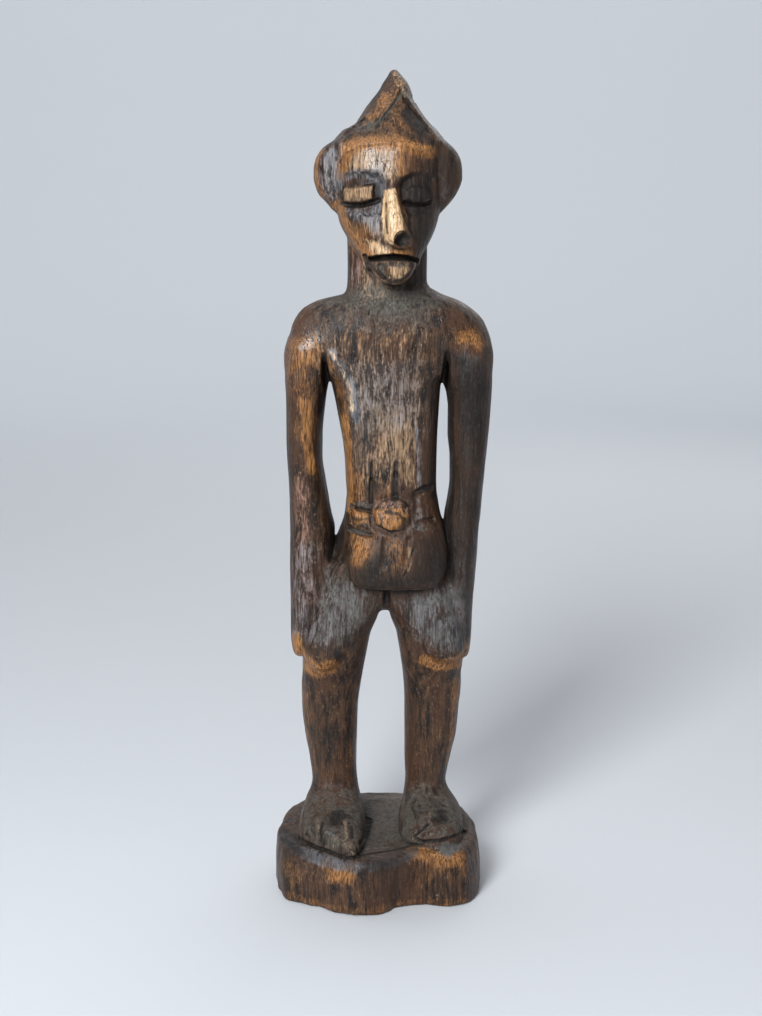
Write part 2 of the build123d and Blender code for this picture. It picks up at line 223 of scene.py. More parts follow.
class Capsule:
    def __init__(self, a, b, ra, rb, flat=(1.0, 1.0, 1.0), pad=5.0):
        self.a, self.b, self.ra, self.rb = np.array(a, float), np.array(b, float), ra, rb
        self.flat = flat
        r = max(ra, rb) / min(flat)
        self.lo = np.minimum(self.a, self.b) - r - pad
        self.hi = np.maximum(self.a, self.b) + r + pad

    def __call__(self, x, y, z):
        fx, fy, fz = self.flat
        ax, ay, az = self.a * self.flat
        bx, by, bz = self.b * self.flat
        x, y, z = x * fx, y * fy, z * fz
        dx, dy, dz = bx - ax, by - ay, bz - az
        L2 = dx * dx + dy * dy + dz * dz
        t = np.clip(((x - ax) * dx + (y - ay) * dy + (z - az) * dz) / max(L2, 1e-9), 0, 1)
        return np.sqrt((x - ax - t * dx) ** 2 + (y - ay - t * dy) ** 2 + (z - az - t * dz) ** 2) - (self.ra + (self.rb - self.ra) * t)


def line_dist(u, v, pts):
    """Distance in a plane to a polyline."""
    best = np.full(u.shape, 1e9, F4)
    for (ax, ay), (bx, by) in zip(pts[:-1], pts[1:]):
        dx, dy = bx - ax, by - ay
        t = np.clip(((u - ax) * dx + (v - ay) * dy) / (dx * dx + dy * dy), 0, 1)
        best = np.minimum(best, (u - ax - t * dx) ** 2 + (v - ay - t * dy) ** 2)
    return np.sqrt(best)


def poly_dist(u, v, pts):
    """Signed distance in a plane to a closed outline, negative inside."""
    d = line_dist(u, v, list(pts) + [pts[0]])
    inside = np.zeros(u.shape, bool)
    n = len(pts)
    for i in range(n):
        (ax, ay), (bx, by) = pts[i], pts[(i + 1) % n]
        if ay == by:
            continue
        c = (ay > v) != (by > v)
        inside ^= c & (u < (bx - ax) * (v - ay) / (by - ay) + ax)
    return np.where(inside, -d, d)


class Noise:
    """Smooth lattice noise in -1..1, period 64 cells."""

    def __init__(self, seed):
        self.g = np.random.default_rng(seed).uniform(-1, 1, (64, 64, 64)).astype(F4)

    def __call__(self, x, y, z):
        xi, yi, zi = np.floor(x).astype(np.int32), np.floor(y).astype(np.int32), np.floor(z).astype(np.int32)
        fx, fy, fz = x - xi, y - yi, z - zi
        fx, fy, fz = fx * fx * (3 - 2 * fx), fy * fy * (3 - 2 * fy), fz * fz * (3 - 2 * fz)
        g = self.g
        x0, y0, z0 = xi & 63, yi & 63, zi & 63
        x1, y1, z1 = (xi + 1) & 63, (yi + 1) & 63, (zi + 1) & 63
        a = g[x0, y0, z0] * (1 - fx) + g[x1, y0, z0] * fx
        b = g[x0, y1, z0] * (1 - fx) + g[x1, y1, z0] * fx
        c = g[x0, y0, z1] * (1 - fx) + g[x1, y0, z1] * fx
        d = g[x0, y1, z1] * (1 - fx) + g[x1, y1, z1] * fx
        return (a * (1 - fy) + b * fy) * (1 - fz) + (c * (1 - fy) + d * fy) * fz


# ---------------------------------------------------------------- station tables of the carving
T_PED_FOOT = [(-29.7, -2.7), (-28.9, -9.3), (-27.2, -14.6), (-22.3, -17.7), (-16.4, -20.3),
              (-10.7, -24.4), (-6.3, -25.9), (-1.9, -25.4), (1.0, -24.4), (5.4, -21.2), (10.4, -19.4),
              (15.2, -19.1), (20.6, -20.2), (25.4, -18.4), (28.0, -14.2), (29.3, -7.6),
              (29.7, 0.4), (29.0, 9.0), (26.8, 17.0), (21.8, 23.2), (14.0, 26.8),
              (5.0, 28.4), (-5.0, 28.4), (-14.2, 26.6), (-22.0, 22.0), (-26.8, 14.8), (-29.2, 6.0)]
T_PED_TOP = [(-29.0, -3.0), (-27.8, -8.2), (-25.0, -12.6), (-20.4, -16.0), (-15.0, -19.4),
             (-9.8, -23.4), (-4.8, -25.6), (1.0, -25.6), (6.4, -23.0), (10.8, -20.6),
             (15.4, -19.4), (20.4, -19.0), (24.6, -17.0), (27.4, -12.6), (28.6, -6.4),
             (28.8, 0.6), (27.8, 8.8), (25.4, 16.4), (20.6, 22.6), (13.6, 26.6),
             (5.0, 28.2), (-5.0, 28.2), (-13.8, 26.4), (-21.2, 21.8), (-26.0, 14.4), (-28.6, 5.4)]
PED_C = (0.0, 1.6)


def polar(points):
    p = np.array(points) - PED_C
    a = np.arctan2(p[:, 1], p[:, 0])
    r = np.hypot(p[:, 0], p[:, 1])
    o = np.argsort(a)
    a, r = a[o], r[o]
    a = np.concatenate([a[-3:] - 2 * np.pi, a, a[:3] + 2 * np.pi])
    r = np.concatenate([r[-3:], r, r[:3]])
    t = np.linspace(-np.pi, np.pi, 721)
    k = np.interp(t, a, r)
    kern = np.hanning(13); kern /= kern.sum()
    k = np.convolve(np.concatenate([k[-20:-1], k, k[1:20]]), kern, "same")[19:-19]
    return k.astype(F4)


P_FOOT, P_TOP = polar(T_PED_FOOT), polar(T_PED_TOP)
N1, N2, N3 = Noise(11), Noise(23), Noise(37)


def pedestal_d(x, y, z):
    px, py = x - PED_C[0], y - PED_C[1]
    a = np.arctan2(py, px)
    u = (a + np.pi) * (720 / (2 * np.pi))
    i = np.clip(u.astype(np.int32), 0, 719)
    f = u - i
    rf = P_FOOT[i] * (1 - f) + P_FOOT[i + 1] * f
    rt = P_TOP[i] * (1 - f) + P_TOP[i + 1] * f
    w = sstep(6.0, 17.0, z)
    r = rf * (1 - w) + rt * w
    # upright knife facets on the wall
    r = r + 0.35 * N1(a * 5.2, z * 0.05 + 3.0, z * 0 + 2.0) + 0.22 * N2(a * 13.0, z * 0.08, z * 0 + 5.0)
    d = np.sqrt(px * px + py * py) - r
    valley = 0.9 * np.exp(-((x - 1.8) / 5.0) ** 2) * sstep(24, 6, y) * sstep(-27, -12, y)
    top = 16.35 - valley + 0.12 * N1(x * 0.22, y * 0.22, z * 0 + 9.0) - 0.6 * sstep(-15, -24, x) * sstep(12, -6, y)
    top = top - 1.2 * sstep(17, 27, y)
    d = smax(d, z - top, 2.8)
    d = smax(d, -z, 1.6)
    return d * 0.95


RIGHT_FOOT = Limb([(14.5, -22.9, -3.4, -27.5, 13.5, 3.0, 2.6, 0.62), (17.5, -22.8, -3.5, -27.0, 14.0, 3.0, 2.6, 0.62),
                   (19.4, -22.4, -3.7, -25.4, 14.2, 2.9, 2.6, 0.62), (21.2, -21.8, -4.2, -20.5, 14.2, 2.8, 2.6, 0.6),
                   (23.6, -20.9, -5.0, -11.8, 13.8, 2.6, 2.4, 0.56), (26.0, -19.6, -5.8, -5.0, 13.4, 2.4, 2.3, 0.5),
                   (28.9, -18.2, -6.6, -0.9, 12.4, 2.3, 2.2, 0.5)], ke=1.0)
LEFT_FOOT = Limb([(14.5, 6.2, 25.2, -17.4, 13.5, 2.8, 2.6, 0.55), (17.5, 6.3, 25.0, -17.2, 14.0, 2.8, 2.6, 0.55),
                  (19.4, 6.5, 24.6, -16.6, 14.2, 2.7, 2.6, 0.55), (21.2, 6.9, 23.8, -14.4, 14.2, 2.6, 2.6, 0.55),
                  (23.6, 7.5, 22.2, -9.6, 13.8, 2.5, 2.4, 0.52), (26.0, 8.1, 20.6, -4.6, 13.4, 2.4, 2.3, 0.5),
                  (28.9, 8.8, 19.0, -0.9, 12.4, 2.3, 2.2, 0.5)], ke=1.0)
RIGHT_SHIN = Limb([(23.0, -19.3, -6.0, -1.8, 12.6), (28.3, -19.2, -6.1, -1.0, 13.0), (35.8, -20.0, -6.3, -0.6, 14.6),
                   (43.2, -21.3, -6.1, -0.8, 16.2), (50.5, -22.1, -5.8, -1.4, 16.9), (57.8, -22.2, -4.9, -2.6, 15.8),
                   (62.0, -21.8, -4.2, -3.8, 14.6), (66.6, -21.6, -3.4, -5.4, 13.6), (71.0, -21.0, -2.7, -6.8, 13.4),
                   (75.0, -20.4, -1.9, -7.4, 13.8), (79.0, -19.8, -0.2, -7.7, 14.6), (85.0, -19.0, 1.4, -7.2, 15.6)])
LEFT_SHIN = Limb([(23.0, 8.4, 20.0, -1.8, 12.6), (28.3, 8.3, 20.0, -1.0, 13.0), (35.8, 8.0, 21.3, -0.6, 14.6),
                  (43.2, 8.0, 23.1, -0.8, 16.2), (50.5, 7.9, 23.7, -1.4, 16.9), (57.8, 7.7, 24.4, -2.6, 15.8),
                  (62.0, 7.3, 24.3, -3.8, 14.6), (66.6, 6.7, 24.6, -5.4, 13.6), (71.0, 6.1, 24.6, -6.8, 13.4),
                  (75.0, 5.4, 24.4, -7.4, 13.8), (79.0, 3.9, 24.2, -7.7, 14.6), (85.0, 2.0, 23.4, -7.2, 15.6)])
RIGHT_THIGH = Limb([(65.4, -18.0, -13.0, -6.6, 3.0, 2.4, 2.2), (66.8, -19.6, -11.2, -8.2, 8.0, 2.5, 2.2),
                    (68.6, -20.9, -9.6, -9.0, 11.0, 2.5, 2.2), (71.0, -21.6, -7.6, -9.4, 12.6, 2.5, 2.2),
                    (75.0, -21.3, -4.4, -9.2, 14.0, 2.5, 2.2), (79.0, -20.6, -1.2, -8.8, 15.4, 2.5, 2.2),
                    (83.0, -19.6, 2.0, -8.2, 17.0, 2.5, 2.2), (87.0, -18.4, 3.2, -7.7, 18.4, 2.5, 2.2),
                    (91.0, -16.9, 3.4, -7.2, 19.2, 2.5, 2.2), (96.0, -14.8, 3.4, -6.8, 18.6, 2.5, 2.2)], ke=1.3)
LEFT_THIGH = Limb([(68.2, 15.6, 22.6, -6.6, 3.0, 2.4, 2.2), (69.6, 13.8, 24.3, -8.2, 8.0, 2.5, 2.2),
                   (71.4, 12.0, 25.0, -9.0, 11.4, 2.5, 2.2), (74.0, 9.6, 25.3, -9.3, 13.0, 2.5, 2.2),
                   (77.0, 7.4, 25.1, -9.0, 14.8, 2.5, 2.2), (80.0, 5.0, 24.7, -8.7, 16.0, 2.5, 2.2),
                   (83.0, 2.6, 24.1, -8.2, 17.0, 2.5, 2.2), (87.0, 1.6, 23.2, -7.7, 18.4, 2.5, 2.2),
                   (91.0, 1.6, 21.9, -7.2, 19.2, 2.5, 2.2), (96.0, 1.6, 20.4, -6.8, 18.6, 2.5, 2.2)], ke=1.3)
HIPS = Limb([(81.6, -12.0, 18.0, -1.0, 13.0, 2.4, 2.3), (85.0, -16.0, 21.4, -5.2, 17.6, 2.5, 2.3),
             (90.0, -16.6, 22.0, -6.4, 20.0, 2.6, 2.4), (95.0, -15.2, 21.2, -6.4, 20.4, 2.6, 2.4),
             (100.0, -12.8, 20.0, -6.4, 18.8, 2.5, 2.4), (104.0, -10.6, 17.9, -6.6, 16.8, 2.4, 2.4),
             (108.0, -8.2, 15.4, -5.4, 13.8, 2.4, 2.4)], ke=2.0)
BELLY = Limb([(90.2, -4.6, 15.2, -10.6, 3.0, 2.7, 2.4, 0.6), (91.2, -6.8, 17.2, -13.0, 5.0, 2.7, 2.4, 0.6),
              (93.4, -8.4, 18.6, -14.5, 6.0, 2.6, 2.4, 0.6), (97.0, -9.2, 19.5, -15.0, 7.0, 2.6, 2.4, 0.6),
              (101.0, -9.4, 19.7, -14.5, 8.0, 2.5, 2.4, 0.6), (105.5, -9.4, 19.0, -13.2, 9.0, 2.5, 2.4, 0.6),
              (110.0, -9.0, 17.5, -11.6, 9.0, 2.5, 2.4, 0.6), (115.0, -8.4, 16.5, -9.9, 9.0, 2.5, 2.4, 0.6)], ke=1.8)
TORSO = Limb([(96.0, -9.0, 18.6, -9.0, 18.0, 2.4, 2.4), (105.0, -9.4, 18.0, -9.8, 16.6, 2.4, 2.4),
              (109.7, -8.9, 17.1, -10.0, 15.6, 2.5, 2.4), (114.3, -8.6, 16.7, -9.7, 14.8, 2.6, 2.4),
              (118.9, -8.8, 16.5, -9.2, 14.2, 2.7, 2.5), (125.7, -9.1, 16.6, -8.9, 14.0, 2.9, 2.6),
              (132.4, -9.9, 16.7, -8.9, 14.2, 3.2, 2.7), (139.2, -11.0, 16.9, -9.2, 14.6, 3.4, 2.8),
              (143.6, -11.8, 17.1, -9.6, 15.0, 3.4, 2.8), (148.1, -12.8, 17.6, -9.9, 15.2, 3.4, 2.8),
              (154.0, -14.2, 19.0, -10.1, 15.2, 3.2, 2.8), (162.0, -14.0, 20.0, -9.6, 15.0, 3.0, 2.8)], ke=2.0)
YOKE = Limb([(150.2, -25.2, 31.2, -8.0, 13.4, 2.9, 2.8), (154.3, -25.7, 31.8, -9.6, 14.9, 2.9, 2.8),
             (158.4, -24.9, 31.2, -9.8, 15.0, 2.8, 2.7), (160.6, -24.0, 30.5, -9.7, 15.0, 2.7, 2.7),
             (162.8, -23.4, 29.6, -9.5, 15.0, 2.6, 2.6), (164.8, -22.4, 28.3, -9.1, 15.0, 2.5, 2.5),
             (167.0, -20.5, 25.9, -8.5, 14.8, 2.4, 2.4), (169.0, -16.4, 22.6, -7.7, 14.5, 2.3, 2.3),
             (171.0, -8.8, 17.4, -6.6, 14.0, 2.2, 2.2), (172.8, -6.4, 14.6, -5.8, 13.2, 2.2, 2.2)], ke=1.6)
RIGHT_ARM = Limb([(67.6, -22.8, -20.6, 0.8, 4.8), (68.4, -23.8, -20.0, -1.6, 6.8), (70.4, -24.4, -19.0, -3.2, 8.2),
                  (74.0, -24.8, -17.8, -4.2, 9.2), (82.0, -24.8, -15.4, -4.9, 10.2), (90.0, -24.8, -13.6, -5.1, 10.6),
                  (98.0, -24.9, -12.4, -5.3, 11.0), (105.0, -24.8, -12.1, -5.4, 11.2), (109.7, -24.8, -13.1, -5.4, 11.4),
                  (114.3, -24.8, -13.9, -5.4, 11.4), (118.9, -24.9, -14.7, -5.4, 11.5), (125.7, -25.1, -15.5, -5.6, 11.6),
                  (132.4, -25.3, -15.4, -5.8, 11.8), (139.2, -25.4, -14.8, -6.4, 12.2), (143.6, -25.5, -14.2, -7.0, 12.6),
                  (148.1, -25.7, -13.4, -7.8, 13.0), (152.0, -25.6, -13.0, -8.4, 13.4), (156.5, -24.6, -13.4, -8.2, 12.8),
                  (161.0, -22.4, -14.0, -6.0, 11.0)], ke=2.0)
LEFT_ARM = Limb([(67.0, 23.4, 25.2, 0.8, 4.8), (68.4, 22.8, 26.1, -1.6, 6.8), (70.4, 22.4, 26.5, -3.2, 8.2),
                 (74.0, 21.8, 26.8, -4.2, 9.2), (82.0, 20.4, 27.1, -4.9, 10.2), (90.0, 19.4, 27.6, -5.1, 10.6),
                 (98.0, 18.9, 28.3, -5.3, 11.0), (105.0, 18.6, 28.7, -5.4, 11.2), (109.7, 19.0, 29.2, -5.4, 11.4),
                 (114.3, 19.8, 29.5, -5.4, 11.4), (118.9, 20.3, 29.9, -5.4, 11.5), (125.7, 20.2, 30.5, -5.6, 11.6),
                 (132.4, 19.6, 31.1, -5.8, 11.8), (139.2, 19.6, 31.5, -6.4, 12.2), (143.6, 19.2, 31.7, -7.0, 12.6),
                 (148.1, 17.8, 31.8, -7.8, 13.0), (152.0, 17.3, 31.7, -8.4, 13.4), (156.5, 17.6, 30.8, -8.2, 12.8),
                 (161.0, 18.4, 28.6, -6.0, 11.0)], ke=2.0)
NECK = Limb([(165.0, -9.0, 14.6, -7.0, 14.6, 2.2, 2.2), (170.0, -8.6, 14.2, -6.6, 14.4, 2.2, 2.2),
             (175.0, -8.1, 13.6, -6.1, 13.8, 2.2, 2.2), (183.0, -8.2, 13.7, -6.0, 13.6, 2.2, 2.2),
             (199.0, -8.4, 14.0, -6.0, 14.0, 2.2, 2.2)], ke=1.0)
FACE = Limb([(172.6, 1.8, 7.0, -11.0, -2.0, 2.4, 2.0), (173.8, -0.6, 8.9, -12.8, 0.0, 2.6, 2.0),
             (175.6, -2.4, 10.2, -13.9, 3.0, 2.7, 2.0), (178.0, -3.5, 11.0, -14.4, 6.0, 2.5, 2.0),
             (181.3, -4.9, 11.9, -14.4, 10.0, 2.1, 2.0), (184.4, -6.9, 13.6, -14.0, 13.0, 2.1, 2.1),
             (187.8, -9.0, 15.2, -13.7, 15.6, 2.15, 2.2), (191.0, -10.5, 16.3, -13.4, 17.6, 2.2, 2.2),
             (195.0, -11.4, 17.1, -13.1, 19.4, 2.25, 2.2), (200.0, -12.0, 17.7, -12.9, 20.6, 2.3, 2.2),
             (205.0, -12.4, 18.1, -12.5, 20.4, 2.3, 2.2), (210.0, -12.4, 18.2, -11.5, 19.4, 2.3, 2.2),
             (215.0, -9.0, 15.6, -9.2, 17.0, 2.2, 2.2)], ke=1.0)
CREST = Limb([(206.0, -11.2, 17.2, -12.2, 20.2, 2.2, 2.2), (209.5, -12.4, 18.4, -12.1, 19.6, 2.2, 2.2),
              (212.4, -11.0, 17.6, -10.9, 18.6, 2.2, 2.1), (214.4, -8.6, 15.9, -10.0, 17.8, 2.1, 2.0),
              (216.5, -5.9, 14.0, -8.9, 16.8, 2.1, 1.9), (218.6, -4.3, 12.4, -7.6, 15.8, 2.1, 1.8),
              (220.6, -3.0, 11.1, -6.2, 14.8, 2.1, 1.8), (222.7, -1.4, 10.0, -4.8, 13.6, 2.1, 1.8),
              (224.7, 0.2, 9.2, -3.4, 12.4, 2.1, 1.8), (226.8, 1.5, 8.2, -1.8, 11.0, 2.1, 1.8),
              (228.8, 3.0, 6.4, 0.0, 8.8, 2.0, 1.9), (230.0, 3.7, 5.4, 1.8, 6.8, 2.0, 2.0)], ke=0.8)
RIGHT_EAR = Limb([(192.6, -11.4, -6.0, 0.5, 4.5, 2.0, 2.0, 0.4), (194.2, -12.8, -6.0, -1.5, 6.5, 2.0, 2.0, 0.4),
                  (195.6, -13.9, -6.0, -2.6, 7.8, 2.0, 2.0, 0.4), (197.7, -15.7, -6.0, -3.7, 9.2, 2.0, 2.0, 0.4),
                  (199.8, -16.5, -5.5, -4.4, 10.0, 2.0, 2.0, 0.4), (201.9, -17.0, -5.0, -4.9, 10.6, 2.0, 2.0, 0.4),
                  (204.0, -17.0, -5.0, -5.2, 11.0, 2.0, 2.0, 0.4), (206.1, -16.7, -5.0, -5.5, 11.2, 2.0, 2.0, 0.4),
                  (208.2, -15.8, -4.0, -6.0, 11.2, 2.0, 2.0, 0.4), (210.3, -13.9, -3.0, -6.6, 11.0, 2.0, 2.0, 0.4),
                  (212.4, -10.4, -2.0, -7.0, 10.6, 2.0, 2.0, 0.4), (214.6, -6.0, -1.0, -6.0, 9.4, 2.0, 2.0, 0.4)], ke=0.8)
LEFT_EAR = Limb([(192.6, 12.0, 17.0, 0.5, 4.5, 2.0, 2.0, 0.4), (194.2, 12.0, 18.5, -1.5, 6.5, 2.0, 2.0, 0.4),
                 (195.6, 12.0, 19.7, -2.6, 7.8, 2.0, 2.0, 0.4), (197.7, 12.0, 21.2, -3.7, 9.2, 2.0, 2.0, 0.4),
                 (199.8, 11.5, 22.2, -4.4, 10.0, 2.0, 2.0, 0.4), (201.9, 11.0, 22.7, -4.9, 10.6, 2.0, 2.0, 0.4),
                 (204.0, 11.0, 22.7, -5.2, 11.0, 2.0, 2.0, 0.4), (206.1, 11.0, 22.4, -5.5, 11.2, 2.0, 2.0, 0.4),
                 (208.2, 10.0, 21.6, -6.0, 11.2, 2.0, 2.0, 0.4), (210.3, 9.0, 19.8, -6.6, 11.0, 2.0, 2.0, 0.4),
                 (212.4, 8.0, 17.0, -7.0, 10.6, 2.0, 2.0, 0.4), (214.6, 7.0, 13.4, -6.0, 9.4, 2.0, 2.0, 0.4)], ke=0.8)
NOSE = Limb([(183.7, 3.8, 8.2, -14.8, -9.0, 2.4, 2.0, 0.97), (184.8, 2.5, 9.2, -16.5, -9.0, 2.6, 2.0, 0.97),
             (186.2, 1.8, 9.4, -17.7, -9.0, 2.8, 2.0, 0.97), (188.2, 1.6, 8.7, -17.9, -9.0, 2.8, 2.0, 0.97),
             (190.4, 1.7, 7.8, -17.2, -9.0, 2.8, 2.0, 0.97),
             (194.0, 1.9, 6.7, -16.0, -9.0, 2.8, 2.0, 0.97), (198.0, 2.2, 5.7, -14.8, -9.0, 2.8, 2.0, 0.97),
             (201.0, 2.5, 5.0, -13.7, -9.0, 2.6, 2.0, 0.97), (204.5, 2.8, 4.6, -12.5, -9.0, 2.4, 2.0, 0.97)], ke=0.6)

# face features, outlines in (x, z) seen from the front
BROW_R = [(-10.4, 200.6), (-8.4, 202.6), (-5.8, 203.4), (-2.4, 203.4), (0.2, 202.6), (1.9, 200.8), (2.3, 198.3), (1.6, 195.0), (1.2, 192.4), (-3.0, 192.2), (-8.6, 193.4)]
BROW_L = [(5.4, 199.6), (6.6, 201.7), (9.1, 203.0), (12.2, 203.3), (14.7, 202.1), (16.0, 199.4), (15.0, 194.0), (11.5, 192.0), (8.6, 191.6), (7.0, 194.0), (5.8, 197.0)]
LID_R = [(-8.8, 198.4), (-6.6, 199.2), (-0.9, 200.2), (-1.2, 196.6), (-4.0, 195.5), (-8.8, 195.9)]
LID_L = [(7.0, 198.6), (9.0, 199.8), (13.2, 199.4), (14.4, 197.6), (13.6, 195.8), (9.5, 195.3), (7.2, 196.2)]
SLIT_R = [(-9.8, 195.2), (-7.1, 194.9), (-4.0, 194.9), (-1.4, 195.5), (0.4, 196.2)]
SLIT_L = [(6.8, 195.6), (9.1, 194.9), (12.2, 195.0), (14.3, 195.9)]
MOUTH = [(-1.8, 181.0), (1.0, 181.5), (4.4, 181.8), (7.8, 181.4), (10.4, 180.6)]
CHIN_ARC = [(-3.2, 181.6), (-2.5, 178.9), (-1.0, 176.2), (1.4, 174.2), (4.2, 173.4), (7.0, 173.9), (9.4, 175.8), (10.9, 178.8)]
LIP = [(-1.6, 180.4), (0.8, 180.9), (4.4, 181.1), (7.8, 180.8), (10.2, 180.1), (9.8, 178.2), (8.4, 176.2), (6.4, 174.9), (4.2, 174.5), (2.0, 175.1), (0.0, 177.0), (-1.2, 179.0)]
# inverted V of the hood bands
HOOD_PANEL = [(6.2, 225.2), (4.6, 221.6), (2.6, 218.9), (-0.6, 214.4), (-3.2, 217.4), (-9.0, 213.0), (-8.0, 206.0), (3.0, 205.0), (15.0, 206.0), (15.5, 212.0), (13.4, 214.8), (10.4, 218.6), (7.6, 222.4)]
HAIRLINE = [(-10.4, 205.5), (-8.4, 208.4), (-4.5, 210.0), (2.0, 210.8), (8.5, 210.0), (13.2, 208.4), (15.6, 205.5)]
TEMPLE_R = [(-7.0, 212.5), (-8.6, 209.1), (-10.0, 204.0), (-10.5, 198.8), (-10.2, 194.5)]
TEMPLE_L = [(14.2, 210.5), (15.6, 206.5), (16.4, 202.0), (16.3, 198.0), (15.9, 194.5)]


def front_gate(y, a, b):
    """1 in front of y = a, falling to 0 behind y = b."""
    return sstep(b, a, y)


def face_detail(x, y, z, d):
    g = front_gate(y, -7.5, -4.5)
    # eye sockets
    so = sstep(0.7, -0.9, poly_dist(x, z, BROW_R))
    d = d + g * so * (0.95 + 0.75 * sstep(-6.5, 0.5, x))
    so = sstep(0.7, -0.9, poly_dist(x, z, BROW_L))
    d = d + g * so * (1.0 + 0.8 * sstep(11.5, 7.0, x))
    # lids stand proud of the sockets, with a sharp lower edge over the slit
    d = d - g * 1.05 * sstep(0.45, -0.5, poly_dist(x, z, LID_R))
    d = d - g * 0.95 * sstep(0.6, -0.8, poly_dist(x, z, LID_L))
    d = d + g * 1.15 * sstep(0.85, 0.1, line_dist(x, z, SLIT_R))
    d = d + g * 0.95 * sstep(0.8, 0.1, line_dist(x, z, SLIT_L))
    return d


def mouth_detail(x, y, z, d):
    g = front_gate(y, -8.5, -6.0)
    d = d + g * 0.7 * sstep(0.4, -1.0, poly_dist(x, z, [(-3.4, 182.0), (0.6, 181.6), (4.4, 181.9), (7.8, 181.6), (11.2, 180.8), (9.8, 173.5), (-0.5, 173.0)]))
    # protruding half-moon of the lower lip, its own rim left standing on the right-hand side
    d = d - g * 1.35 * sstep(0.3, -0.5, poly_dist(x, z, LIP))
    d = d + g * 0.7 * sstep(0.25, -0.35, poly_dist(x, z, [(-0.4, 179.4), (1.2, 179.9), (2.0, 179.7), (2.3, 177.0), (1.7, 176.7)]))
    d = d - g * 0.35 * sstep(0.3, -0.3, poly_dist(x, z, [(2.4, 179.6), (7.6, 179.2), (8.4, 177.4), (6.6, 175.9), (3.0, 175.7)]))
    # open mouth line under the upper lip
    d = d + g * 2.1 * sstep(0.85, 0.15, line_dist(x, z, MOUTH))
    d = d + g * 1.1 * sstep(0.95, 0.1, line_dist(x, z, CHIN_ARC))
    # upright cuts across the lower lip
    for cx, dep in ((2.5, 0.6), (4.1, 0.45), (5.7, 0.4), (7.2, 0.45)):
        d = d + g * dep * sstep(0.40, 0.0, np.abs(x - cx - 0.10 * (z - 178))) * sstep(180.2, 179.2, z) * sstep(175.0, 176.4, z)
    return d


def nose_detail(x, y, z, d):
    g = front_gate(y, -12.5, -11.0)
    d = d + g * 0.7 * sstep(0.42, 0.0, line_dist(x, z, [(2.4, 195.4), (2.6, 190.6), (2.8, 187.6)]))
    d = d + g * 0.2 * sstep(0.3, 0.0, line_dist(x, z, [(4.4, 199.0), (5.2, 193.0), (5.4, 189.2)]))
    return d


def hood_detail(x, y, z, d):
    g = front_gate(y, 2.0, 5.0)
    p = poly_dist(x, z, HOOD_PANEL)
    d = d + g * 0.8 * sstep(0.5, -0.5, p) * sstep(208.0, 212.5, z)
    # band edge line catches the light
    d = d - g * 0.22 * sstep(0.55, 0.0, np.abs(p - 0.35)) * sstep(213.0, 216.0, z)
    # the hair overhangs the forehead along the hairline
    zl = np.interp(x, [-11.5, -10.4, -8.4, -4.5, 2.0, 8.5, 13.2, 15.6, 17.0], [203.0, 205.5, 208.3, 209.9, 210.6, 209.9, 208.3, 205.5, 203.0])
    d = d - front_gate(y, -5.0, -1.0) * 0.75 * sstep(-0.7, 0.6, z - zl) * sstep(219.0, 211.0, z) * sstep(-11.6, -8.2, x) * sstep(17.0, 13.4, x)
    # knife steps on the left-hand edge of the crest
    d = d + 0.5 * sstep(1.3, 0.0, np.abs(z - 222.4)) * sstep(8.0, 9.6, x)
    d = d + 0.35 * sstep(1.0, 0.0, np.abs(z - 216.4)) * sstep(-4.6, -6.0, x)
    d = d + 0.22 * sstep(0.8, 0.0, line_dist(x, z, TEMPLE_R)) * front_gate(y, -2.0, 0.5)
    d = d + 0.14 * sstep(0.9, 0.0, line_dist(x, z, TEMPLE_L)) * front_gate(y, -2.0, 0.5)
    return d


NAVEL = (4.3, 111.7)


